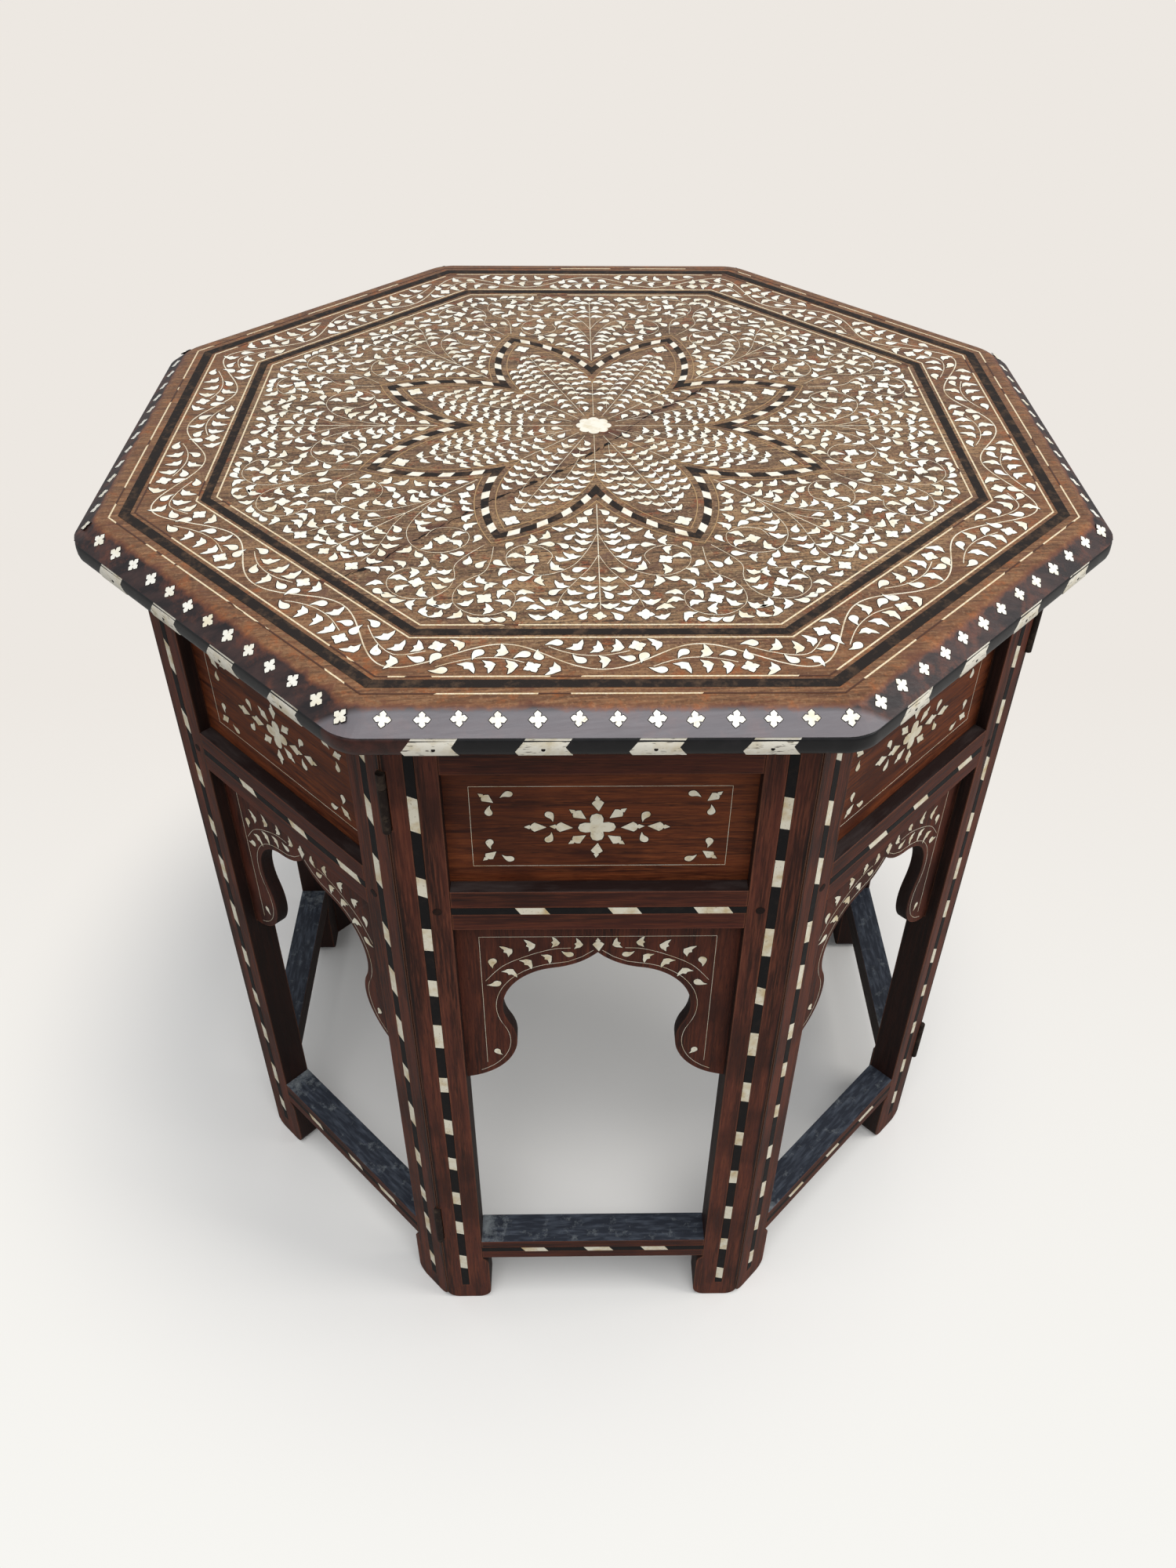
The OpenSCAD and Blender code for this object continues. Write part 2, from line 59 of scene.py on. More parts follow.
def add_node(tree, kind, inputs=None, **settings):
    """Adds a shader node. An input takes a colour code, a value, a socket or another node."""
    made = tree.nodes.new("ShaderNode" + kind)
    for name, value in settings.items():
        setattr(made, name, value)
    for name, value in (inputs or {}).items():
        if isinstance(value, bpy.types.Node):
            value = next(output for output in value.outputs if output.enabled)
        if isinstance(value, bpy.types.NodeSocket):
            tree.links.new(value, made.inputs[name])
        else:
            made.inputs[name].default_value = linear(value) if isinstance(value, str) else value
    return made


def new_material(name):
    """An empty material, with its output's surface input and the object's own coordinates."""
    made = bpy.data.materials.new(name)
    made.use_nodes = True
    made.node_tree.nodes.clear()
    surface = add_node(made.node_tree, "OutputMaterial").inputs["Surface"]
    coordinates = add_node(made.node_tree, "TexCoord").outputs["Object"]
    return made, made.node_tree, surface, coordinates


def measured(tree, coordinates):
    """The parts of a place, the place brought down to the floor, and its distance from the middle."""
    parts = add_node(tree, "SeparateXYZ", {0: coordinates}).outputs
    level_place = add_node(tree, "VectorMath", {0: coordinates, 1: (1, 1, 0)}, operation="MULTIPLY")
    radius = add_node(tree, "VectorMath", {0: level_place}, operation="LENGTH")
    return parts, level_place, radius


def covered(tree, value, start, stop, under, over, most=1.0):
    """Lays one colour over another, from none of it at the start value to most of it at the stop."""
    share = add_node(tree, "MapRange", {"Value": value, "From Min": start, "From Max": stop, "To Max": most})
    return add_node(tree, "Mix", {0: share, 6: under, 7: over}, data_type="RGBA")


def blotched(tree, place, size, under, over, start, stop, most=1.0, detail=3.0):
    """Lays one colour over another in cloudy blotches about this many metres across."""
    cloud = add_node(tree, "TexNoise", {
        "Vector": place, "Scale": 1 / size, "Detail": detail, "Roughness": 0.6})
    return covered(tree, cloud, start, stop, under, over, most)


def finish_shader(tree, surface, colour, height, relief, rough_low, rough_high, sheen_level, metallic=0.0):
    """The surface itself. Its relief, in metres, and its gloss both follow the same height."""
    bump = add_node(tree, "Bump", {"Height": height, "Strength": 0.4, "Distance": relief})
    roughness = add_node(tree, "MapRange", {
        "Value": height, "From Min": 0.3, "From Max": 0.75, "To Min": rough_low, "To Max": rough_high})
    shader = add_node(tree, "BsdfPrincipled", {
        "Base Color": colour, "Roughness": roughness, "Normal": bump, "Metallic": metallic,
        "Specular IOR Level": sheen_level})
    tree.links.new(shader.outputs[0], surface)


def rosewood(name, dark, middle, light, worn, stretch, turn=0.0, gloss=0.46, dusty=False):
    """Waxed rosewood: growth bands about 8 mm wide, fibres, open pores and edges rubbed lighter."""
    material, tree, surface, coordinates = new_material(name)
    parts, level_place, radius = measured(tree, coordinates)
    grain = add_node(tree, "Mapping", {"Vector": coordinates, "Rotation": (0, 0, turn), "Scale": stretch},
                     vector_type="TEXTURE")
    fibres = add_node(tree, "TexNoise", {
        "Vector": grain, "Scale": 1 / (1.2 * MM), "Detail": 3.0, "Roughness": 0.7})
    patches = add_node(tree, "TexNoise", {"Vector": coordinates, "Scale": 1 / (55 * MM), "Detail": 3.0})
    colour = blotched(tree, grain, 8 * MM, dark, middle, 0.38, 0.60, detail=4.0)
    colour = covered(tree, fibres, 0.44, 0.72, colour, light, 0.8)
    colour = covered(tree, patches, 0.50, 0.66, colour, dark, 0.6)
    # Real pores are 0.2 mm wide. These are 0.5 mm, so that they still show from a step away.
    colour = blotched(tree, grain, 0.5 * MM, colour, "#120806", 0.60, 0.72, 0.7, 1.0)
    # Black dirt fills the mitres at the corners.
    dirt_line = add_node(tree, "Math", {0: patches, 1: 1.2 * MM, 2: radius}, operation="MULTIPLY_ADD")
    colour = covered(tree, dirt_line, 283.1 * MM, 283.7 * MM, colour, "#0c0605")
    # Nearly black covers each face that doesn't look outwards: partly a black stain, partly painted shade.
    # The face's direction is taken in the object's own space, so that the dark stays put when a frame folds.
    flat = add_node(tree, "NewGeometry").outputs["Normal"]
    own_flat = add_node(tree, "VectorTransform", {"Vector": flat},
                        vector_type="NORMAL", convert_from="WORLD", convert_to="OBJECT")
    outwards = add_node(tree, "VectorMath", {0: level_place}, operation="NORMALIZE")
    facing = add_node(tree, "VectorMath", {0: outwards, 1: own_flat}, operation="DOT_PRODUCT")
    colour = covered(tree, facing, 0.75, 0.55, colour, "#17100e", 0.85)
    # An edge shows where the rounded normal leaves the flat one.
    rounded = add_node(tree, "Bevel", {"Radius": 1.6 * MM}, samples=4)
    likeness = add_node(tree, "VectorMath", {0: flat, 1: rounded}, operation="DOT_PRODUCT")
    colour = covered(tree, likeness, 0.99, 0.84, colour, worn, 0.45)
    if dusty:
        # Dust and scratches lie on the upper faces of the stretchers, most of it at the left end.
        # The upper faces of the rails above them are cleaner.
        scratches = add_node(tree, "Mapping", {"Vector": grain, "Scale": (1, 4, 4)}, vector_type="TEXTURE")
        top = blotched(tree, scratches, 0.8 * MM, "#292d36", "#565d68", 0.45, 0.75, 0.7, 2.0)
        dust = add_node(tree, "TexNoise", {
            "Vector": coordinates, "Scale": 1 / (9 * MM), "Detail": 8.0, "Roughness": 0.75})
        along = add_node(tree, "SeparateXYZ", {0: grain}).outputs[0]
        at_left = add_node(tree, "MapRange", {
            "Value": along, "From Min": -76 * MM / stretch[0], "From Max": -56 * MM / stretch[0],
            "To Min": 0.16, "To Max": 0.0})
        dust = add_node(tree, "Math", {0: dust, 1: at_left}, operation="ADD")
        top = covered(tree, dust, 0.56, 0.76, top, "#8b9193", 0.75)
        clean_top = blotched(tree, scratches, 5 * MM, "#241715", "#5e5654", 0.42, 0.70, 0.8, 6.0)
        top = covered(tree, parts[2], 90 * MM, 110 * MM, top, clean_top)
        upwards = add_node(tree, "SeparateXYZ", {0: flat}).outputs[2]
        colour = covered(tree, upwards, 0.8, 0.95, colour, top)
    finish_shader(tree, surface, colour, fibres, 0.3 * MM, gloss, gloss + 0.22, 0.25)
    return material


def dress(node, material, round_by=0.0):
    """Gives a piece its finish. Its sharp edges are rounded where it says by how much."""
    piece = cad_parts[node]
    piece.data.materials.clear()
    piece.data.materials.append(material)
    if round_by:
        piece.modifiers.new("joined", "WELD").merge_threshold = 0.01 * MM
        bevel = piece.modifiers.new("eased", "BEVEL")
        bevel.width, bevel.segments = round_by, 2
        bevel.limit_method, bevel.angle_limit = "ANGLE", math.radians(40)
        bevel.use_clamp_overlap = False
        bevel.harden_normals = True


stile_wood = rosewood("waxed_rosewood_upright", "#2d130b", "#5a2b1e", "#7a432f", "#a9694a", (1, 1, 22))
for panel in PANELS:
    dress(panel + "_stiles", stile_wood, 0.45 * MM)

# The rails: three cross pieces to a frame, tenoned into the stiles, with the grain along them.
# Their upper faces are blackened, and hold dust that is never wiped.
SIDE_TURN = math.radians(45)
for number, panel in enumerate(PANELS):
    rail_wood = rosewood(panel + "_waxed_rosewood_level", "#290f08", "#512216", "#6c3823", "#a9694a",
                         (22, 1, 1), number * SIDE_TURN, dusty=True)
    dress(panel + "_rails", rail_wood, 0.4 * MM)

# The frieze and arch panels: thin rosewood boards held in grooves, redder and less worn.
# The arch is sawn to its cusps, and its grain runs upwards.
arch_wood = rosewood("waxed_rosewood_arch", "#2c1109", "#532619", "#6f3b28", "#8a5038", (1, 1, 16), gloss=0.5)
for number, panel in enumerate(PANELS):
    frieze_wood = rosewood(panel + "_waxed_rosewood_frieze", "#3a1609", "#6c3317", "#8a4a26", "#9a5a3a",
                           (16, 1, 1), number * SIDE_TURN, gloss=0.5)
    dress(panel + "_frieze_panel", frieze_wood)
    dress(panel + "_arch_panel", arch_wood, 0.4 * MM)

# The bone and lac of the panels. Each motif is a flat slip of bone, sawn to its outline and let
# into the wood, and the gap round it is filled with black lac. Thin strips of bone frame them.
slip_depth = 0.4 * MM
slip_proud = 0.12 * MM
lac_proud = 0.04 * MM
lac_margin = 0.45
hand = random.Random(7)


def bone_material(name, clean, stained, dirt, stain_size=11 * MM):
    """Polished bone: cream, with soft stains and fine dark grain canals."""
    material, tree, surface, coordinates = new_material(name)
    canals = add_node(tree, "TexNoise", {
        "Vector": coordinates, "Scale": 1 / (1.6 * MM), "Detail": 3.0, "Roughness": 0.7})
    colour = blotched(tree, coordinates, stain_size, clean, stained, 0.45, 0.72)
    colour = covered(tree, canals, 0.60, 0.74, colour, dirt, 0.6)
    finish_shader(tree, surface, colour, canals, 0.1 * MM, 0.36, 0.46, 0.4)
    return material


def worn_material(name, colour, rubbed, gloss, metallic=0.0):
    """Lac, ebony, end grain or old iron: dark, with rubbed lighter places and a soft shine."""
    material, tree, surface, coordinates = new_material(name)
    rubbing = add_node(tree, "TexNoise", {
        "Vector": coordinates, "Scale": 1 / (8 * MM), "Detail": 6.0, "Roughness": 0.7})
    mixed = covered(tree, rubbing, 0.5, 0.75, colour, rubbed, 0.7)
    finish_shader(tree, surface, mixed, rubbing, 0.12 * MM, gloss, gloss + 0.2, 0.2, metallic)
    return material


panel_bone = bone_material("sawn_bone_aged", "#f7f0da", "#d8c294", "#6b4a2c")
lac = worn_material("black_lac", "#120c0a", "#2a1c15", 0.5)


def smooth_path(points, step):
    """Points about one step apart along a smooth curve through these. One given twice is sharp."""
    ends = [points[0], *points, points[-1]]
    fine = []
    for a, b, c, d in zip(ends, ends[1:], ends[2:], ends[3:]):
        if b == c:
            continue
        count = max(2, round(math.dist(b, c) / step))
        for k in range(count):
            t = k / count
            fine.append(tuple(
                0.5 * (2 * b[i] + (c[i] - a[i]) * t + (2 * a[i] - 5 * b[i] + 4 * c[i] - d[i]) * t ** 2
                       + (3 * b[i] - a[i] - 3 * c[i] + d[i]) * t ** 3) for i in (0, 1)))
    return fine + [points[-1]]


def quartered(points):
    """The outline of a motif that is the same on its four sides."""
    return [tuple(Matrix.Rotation(k * math.pi / 2, 2) @ Vector(point)) for k in range(4) for point in points]


# The outlines in mm. A drop has one long point. A bird has a long point, a shorter one that
# joins its stem, and a thorn behind them. A flower and a lozenge have notches in their sides.
OUTLINES = {
    "drop": smooth_path([(6.3, 1.5), (3.8, 1.2), (2.1, 1.7), (0.3, 2.5), (-1.6, 2.1), (-2.7, 0.6),
                         (-2.4, -1.0), (-0.9, -2.3), (0.6, -2.6), (2.4, -1.8), (4.2, -0.5),
                         (6.3, 1.5)], 0.9)[:-1],
    "bird": smooth_path([(6.4, 1.3), (4.0, 1.2), (2.0, 1.1), (0.6, 2.6), (-1.0, 1.6), (-4.5, 3.0),
                         (-4.5, 3.0), (-3.5, 0.7), (-3.1, -0.9), (-2.0, -2.1), (-0.3, -3.2), (-0.3, -3.2),
                         (1.5, -2.2), (4.2, -0.9), (6.4, 1.3)], 0.9)[:-1],
    "flower": quartered([(4.4, 0), (2.9, 1.7), (1.3, 1.3), (1.7, 2.9)]),
    "blossom": quartered([(4.4, 0), (2.8, 1.6), (1.8, 1.8), (1.6, 2.8)]),
    "quatrefoil": quartered([(9.8, 0), (8.8, 2.5), (6.2, 3.5), (3.2, 3.2), (3.5, 6.2), (2.5, 8.8)]),
    "lozenge": [(5.8, 0), (3.1, 1.5), (2.5, 0.8), (1.7, 2.2), (0.3, 3.3), (-5.8, 0), (0.3, -3.3), (1.7, -2.2),
                (2.5, -0.8), (3.1, -1.5)],
}


def slip(outline, margin=0.0):
    """A flat slip with this outline, wider by the margin, which is for the lac round a motif."""
    made = bmesh.new()
    rim = bmesh.ops.create_circle(made, cap_ends=True, segments=len(outline), radius=MM)["verts"]
    for k, corner in enumerate(rim):
        along = Vector(outline[(k + 1) % len(outline)]) - Vector(outline[k - 1])
        outward = Vector((along.y, -along.x)).normalized()
        spot = (Vector(outline[k]) + margin * outward) * MM
        corner.co = (spot.x, spot.y, (lac_proud if margin else slip_proud) - slip_depth)
    sides = bmesh.ops.extrude_face_region(made, geom=made.faces[:])["geom"]
    raised = [part for part in sides if isinstance(part, bmesh.types.BMVert)]
    bmesh.ops.translate(made, verts=raised, vec=(0, 0, slip_depth))
    bmesh.ops.recalc_face_normals(made, faces=made.faces[:])
    shape = bpy.data.meshes.new("slip")
    made.to_mesh(shape)
    made.free()
    return shape


bone_slips = {name: slip(outline) for name, outline in OUTLINES.items()}
lac_slips = {name: slip(outline, lac_margin) for name, outline in OUTLINES.items()}


def press(pile, shape, place):
    """Adds one more piece of the same shape to a pile, laid in its place."""
    copy = shape.copy()
    copy.transform(place)
    pile.from_mesh(copy)
    bpy.data.meshes.remove(copy)


def lay(piles, kind, place, x, y, angle, size=1.0, flipped=False):
    """Lays one motif at x, y of the drawn pattern: its bone, and the lac round it."""
    put = place @ Matrix.Translation((x * MM, y * MM, 0)) @ Matrix.Rotation(angle, 4, "Z")
    put = put @ Matrix.Diagonal((size, -size if flipped else size, 1, 1))
    press(piles[0], bone_slips[kind], put)
    press(piles[1], lac_slips[kind], put)


def leaf(kind, heading, side, lean=1.4):
    """The angle and the handedness of a leaf on the left (1) or right (-1) of a stem's heading."""
    if kind == "drop":
        return heading + math.pi + side * 0.45, side < 0
    return heading + side * lean, side < 0


def lay_string(pile, place, points, width, proud):
    """Lays a thin strip along points of the drawn pattern, in mm, with its top this far out."""
    drawn = bpy.data.curves.new("string", "CURVE")
    drawn.dimensions = "3D"
    drawn.bevel_depth, drawn.bevel_resolution, drawn.use_fill_caps = width / 2 * MM, 1, True
    line = drawn.splines.new("POLY")
    line.points.add(len(points) - 1)
    for spot, (x, y) in zip(line.points, points):
        spot.co = (x * MM, y * MM, 0, 1)
    holder = bpy.data.objects.new("string", drawn)
    shape = bpy.data.meshes.new_from_object(holder)
    bpy.data.objects.remove(holder)
    bpy.data.curves.remove(drawn)
    flatten = Matrix.Diagonal((1, 1, 2 * slip_depth / (width * MM), 1))
    shape.transform(Matrix.Translation((0, 0, proud - slip_depth)) @ flatten)
    press(pile, shape, place)
    bpy.data.meshes.remove(shape)


def finish_piece(name, pile, material, body):
    """Turns a pile into a finished piece that moves with its body."""
    bmesh.ops.recalc_face_normals(pile, faces=pile.faces[:])
    shape = bpy.data.meshes.new(name)
    pile.to_mesh(shape)
    pile.free()
    shape.materials.append(material)
    piece = bpy.data.objects.new(name, shape)
    bpy.context.scene.collection.objects.link(piece)
    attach(piece, body)
    return piece


def finish_inlay(name, piles, bone, body):
    """Finishes the bone of some motifs and the lac round them."""
    finish_piece(name + "_bone", piles[0], bone, body)
    finish_piece(name + "_lac", piles[1], lac, body)


def to_side(number):
    """The turn that takes something from the front to this number's side."""
    return Matrix.Rotation(number * SIDE_TURN, 4, "Z")


def arc(x, y, radius, start, stop, steps):
    """Points along an arc, with its angles in degrees."""
    angles = [math.radians(start + (stop - start) * k / steps) for k in range(steps + 1)]
    return [(x + radius * math.cos(a), y + radius * math.sin(a)) for a in angles]


# The patterns are drawn in mm from the middle of a frame and from the floor. On a frieze panel a
# flower stands in the middle, and three leaves in each corner.
QUARTER_TURN = math.radians(90)
UPRIGHT = Matrix.Rotation(QUARTER_TURN, 4, "X")
panel_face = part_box("front_frieze_panel")[0].y
line_x = 67
frieze_x, frieze_z, frieze_rise = -1.5, 485, 28.5
string_width = 0.4
frieze = [("quatrefoil", 0, 0, 0, 1.0, False)]
for side in (-1, 1):
    outward = 0 if side > 0 else math.pi
    frieze += [("lozenge", side * 31.8, 0, outward, 1.0, False),
               ("lozenge", side * 18.4, 0, outward, 1.05, False),
               ("lozenge", 0, side * 16.8, side * QUARTER_TURN, 0.95, False)]
    for rise in (-1, 1):
        x, z, crossed = side * line_x - frieze_x, rise * frieze_rise, side * rise < 0
        frieze += [("lozenge", side * 10.4, rise * 9.4, math.atan2(rise * 8, side * 10), 0.95, False),
                   ("drop", side * 25, rise * 9, math.atan2(-rise * 6, -side * 4), 0.85, crossed),
                   ("lozenge", x - side * 8.8, z - rise * 7.5, math.atan2(rise * 0.75, side), 0.85, False),
                   ("drop", x - side * 20, z - rise * 5, math.atan2(-rise * 0.35, side), 0.8, not crossed),
                   ("drop", x - side * 9.6, z - rise * 18, math.atan2(rise, side * 0.1), 0.8, crossed)]

# The arch line keeps 4 mm from the sawn edge: two cusps by the point, a lobe and a swelling.
arch_line = ([(2.5, 387.5), (9, 382), (17, 377.8)] + arc(20, 337, 39.6, 82, -26, 16)
             + arc(85, 304.7, 33, 153, 245, 12))
arch_top, arch_bottom = 399.3, 283
# Over each half of an arch stands a leafy stem, with a drop in the swelling below it.
arch_stem = [(64.8, 361), (54.6, 374), (41, 382.6), (26, 388.6), (15.5, 389.5)]
upper_leaves = [("drop", 59.8, 378.6), ("bird", 51.3, 387), ("bird", 38.2, 391.6), ("bird", 24, 394.2),
                ("bird", 11, 392.6)]
lower_leaves = [("drop", 58.6, 359), ("bird", 50.6, 369), ("bird", 40, 377.4), ("bird", 28.4, 381.8),
                ("drop", 16.2, 384)]
arch = [("lozenge", 0.5, 392.8, QUARTER_TURN, 1.0, False)]
for side in (-1, 1):
    for k in range(len(arch_stem)):
        near, far = arch_stem[max(k - 1, 0)], arch_stem[min(k + 1, len(arch_stem) - 1)]
        heading = math.atan2(far[1] - near[1], side * (far[0] - near[0]))
        for (kind, x, z), leaf_side in ((upper_leaves[k], -side), (lower_leaves[k], side)):
            angle, flipped = leaf(kind, heading, leaf_side)
            arch.append((kind, side * x, z, angle, 0.95 if k < 3 else 0.85, flipped))
    arch.append(("drop", side * 60.7, 294.5, math.radians(-90 - side * 20), 0.8, side > 0))

low, high = frieze_z - frieze_rise, frieze_z + frieze_rise
panel_lines = [[(-line_x, z), (line_x, z)] for z in (low, high, arch_top)]
for side in (-1, 1):
    panel_lines += [[(side * line_x, low), (side * line_x, high)],
                    [(side * line_x, arch_top), (side * line_x, arch_bottom)],
                    [(side * x, z) for x, z in arch_line],
                    smooth_path([(side * x, z) for x, z in arch_stem], 3)]
for number, panel in enumerate(PANELS):
    piles = (bmesh.new(), bmesh.new())
    face = to_side(number) @ Matrix.Translation((0, panel_face, 0)) @ UPRIGHT
    for line in panel_lines:
        lay_string(piles[0], face, line, string_width, slip_proud)
    for motifs, middle_x, middle_z, wobble in ((frieze, frieze_x, frieze_z, 0.1), (arch, 0, 0, 0.12)):
        for kind, x, z, angle, size, flipped in motifs:
            lay(piles, kind, face, x + middle_x + hand.uniform(-0.4, 0.4),
                z + middle_z + hand.uniform(-0.4, 0.4), angle + hand.uniform(-wobble, wobble), size, flipped)
    finish_inlay(panel + "_inlay", piles, panel_bone, panel + "_frame")

# The banding: strips of ebony let into the faces of the stiles and the two lower rails, with
# slanted pieces of bone between them. They were cut by eye, so no two stiles are quite alike.
base_apothem = -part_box("front_stiles")[0].y
band_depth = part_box("front_bone_banding")[1].y + base_apothem
band_low, band_high = (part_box("front_ebony_banding")[k].z for k in (0, 1))
band_width = 5 * MM
stile_band_x = 94.3 * MM
rail_half = 80 * MM
middle_rail_z = 430 * MM
stretcher_z = 69 * MM
bone_pitch = 45.5 * MM
band_proud = 0.06 * MM
ebony = worn_material("oiled_ebony", "#100e0f", "#2d2521", 0.5)
band_bone = bone_material("sawn_bone_banding", "#f3ecd6", "#d2b988", "#6b4a2c")
brick = bpy.data.meshes.new("brick")
cube = bmesh.new()
bmesh.ops.create_cube(cube, size=1)
cube.to_mesh(brick)
cube.free()

# Middle heights and lengths of the bone in the left and right stile that face the viewer, in mm.
FRONT_BONES = {
    -1: [(502, 24), (449, 14), (407, 18), (365, 14), (320, 22), (271, 15), (225, 16), (182, 14), (139, 15),
         (100, 16), (52, 18)],
    1: [(502, 22), (458, 20), (403, 23), (356, 15), (310, 22), (261, 20), (209, 15), (163, 15), (117, 16),
        (74, 15), (32, 15)],
}


def let_in(pile, number, x, z, width, height, slant=0.0, lean=0.0, proud=0.0):
    """Lets a strip into a frame's outer face. Its ends slant, or its sides lean, by this share."""
    skew = Matrix.Translation((x, -base_apothem + band_depth / 2 - proud, z))
    skew[2][0], skew[0][2] = slant, lean
    press(pile, brick, to_side(number) @ skew @ Matrix.Diagonal((width, band_depth, height, 1)))


for number, panel in enumerate(PANELS):
    dark, pale = bmesh.new(), bmesh.new()
    for side in (-1, 1):
        strip_x = side * stile_band_x
        let_in(dark, number, strip_x, (band_low + band_high) / 2, band_width, band_high - band_low)
        bones, least_slant = FRONT_BONES[side], 0.1
        if panel != "front":
            count = int((band_high - band_low) / bone_pitch)
            bones = [((band_low + k * bone_pitch) / MM + 22 + hand.uniform(-4, 4), hand.uniform(13, 22))
                     for k in range(count)]
            least_slant = 0.5
        for z, length in bones:
            slant = -hand.uniform(least_slant, least_slant + 0.4)
            let_in(pale, number, strip_x, z * MM, band_width, length * MM, slant, proud=band_proud)
    for z, xs in ((middle_rail_z, (-36, 14, 62)), (stretcher_z, (-42, 4, 44.5))):
        let_in(dark, number, 0, z, 2 * rail_half, band_width)
        for x in xs:
            length = hand.uniform(14, 19) * MM
            shift = 0 if panel == "front" else hand.uniform(-4, 4)
            let_in(pale, number, (x + shift) * MM, z, length, band_width, lean=-0.6, proud=band_proud)
    dark_piece = finish_piece(panel + "_ebony_strips", dark, ebony, panel + "_frame")
    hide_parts(panel + "_ebony_banding")
    pale_piece = finish_piece(panel + "_bone_pieces", pale, band_bone, panel + "_frame")
    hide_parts(panel + "_bone_banding")

# The pegs: round rosewood pins driven through the tenons of the middle rails. They stand a
# little darker than the stiles, with the end grain showing.
peg_radius = 2.6 * MM
peg_x = 87.5 * MM
peg_lift = 0.15 * MM
peg_length = 3 * MM
peg_wood = worn_material("rosewood_end_grain", "#1d0d08", "#42261a", 0.55)


def drive(pile, number, x, out, z, radius, length, segments):
    """Drives a round pin into this side of the table. Its head stands this far from the middle."""
    spot = to_side(number) @ Matrix.Translation((x, length / 2 - out, z)) @ UPRIGHT
    bmesh.ops.create_cone(pile, cap_ends=True, segments=segments, radius1=radius, radius2=radius,
                          depth=length, matrix=spot)


for number, panel in enumerate(PANELS):
    pegs = bmesh.new()
    for side in (-1, 1):
        drive(pegs, number, side * peg_x, base_apothem + peg_lift, middle_rail_z + hand.uniform(-2, 2) * MM,
              peg_radius, peg_length, 20)
    finish_piece(panel + "_pegs", pegs, peg_wood, panel + "_frame")

# The hinges: small wrought iron butts let into the mitred edges, browned with age. Their barrels
# show at every other corner outside and at the corners between them inside.
iron = worn_material("wrought_iron_aged", "#2c231f", "#6a5b4d", 0.6, metallic=0.4)
for panel in PANELS:
    dress(panel + "_hinges", iron)

# The top board: rosewood planks joined edge to edge, with a sloping border planed all round.
# The wood is sun-faded in the middle, stained nearly black on the slope, and worn at its ridge.
HALF_TURN = SIDE_TURN / 2
top_low, top_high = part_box("top_board")
underside, top_face = top_low.z, top_high.z
lip_apothem = -top_low.y
lip_rise = 0.3 * MM
lip_height = 575.8 * MM
strip_back = 284 * MM
flat_apothem = 276.5 * MM
ridge_round = 2.6 * MM
corner_round = 8.5 * MM


def add_octagon(pile, apothem, height, filled):
    """Adds an octagon of this apothem, with one side to the front."""
    place = Matrix.Translation((0, 0, height)) @ Matrix.Rotation(HALF_TURN, 4, "Z")
    return bmesh.ops.create_circle(pile, cap_ends=filled, segments=8, radius=apothem / math.cos(HALF_TURN),
                                   matrix=place)["verts"]


def round_edges(pile, edges, radius, segments):
    bmesh.ops.bevel(pile, geom=edges, offset=radius, offset_type="OFFSET", affect="EDGES",
                    segments=segments, profile=0.5, material=-1)


def weigh_normals(piece):
    """Keeps the flats flat where a rounded edge meets them."""
    for face in piece.data.polygons:
        face.use_smooth = True
    piece.modifiers.new("flat_faces", "WEIGHTED_NORMAL").keep_sharp = True


board = bmesh.new()
add_octagon(board, strip_back, underside, True)
level = board.faces[:]
for rise, from_apothem, to_apothem in (
        (lip_height - underside, strip_back, strip_back), (0, strip_back, lip_apothem),
        (lip_rise, lip_apothem, lip_apothem), (top_face - lip_height - lip_rise, lip_apothem, flat_apothem)):
    grown = bmesh.ops.extrude_face_region(board, geom=level)["geom"]
    corners = [part for part in grown if isinstance(part, bmesh.types.BMVert)]
    level = [part for part in grown if isinstance(part, bmesh.types.BMFace)]
    bmesh.ops.translate(board, verts=corners, vec=(0, 0, rise))
    wider = to_apothem / from_apothem
    bmesh.ops.scale(board, verts=corners, vec=(wider, wider, 1))
bmesh.ops.remove_doubles(board, verts=board.verts[:], dist=0.001 * MM)
slope_edges = [e for e in board.edges if min(v.co.z for v in e.verts) > lip_height - 0.1 * MM
               and abs(e.verts[0].co.z - e.verts[1].co.z) > 0.1 * MM]
round_edges(board, slope_edges, corner_round, 5)
ridge_edges = [e for e in board.edges if all(v.co.z > top_face - 0.05 * MM for v in e.verts)
               and len(e.link_faces) == 2 and abs(e.calc_face_angle(0)) > 0.2]
round_edges(board, ridge_edges, ridge_round, 4)
# The lip below the slope stays sharp.
for edge in board.edges:
    edge.smooth = min(v.co.z for v in edge.verts) > lip_height + 0.35 * MM

# Where the old split runs across the board, in mm. Chips have broken out along it.
SPLIT = [(74, 55), (60, 38), (48, 28), (32, 12), (20, -8), (4, -30), (-20, -58), (-45, -82), (-62, -95),
         (-83, -118), (-103, -140), (-116, -158), (-138, -176)]


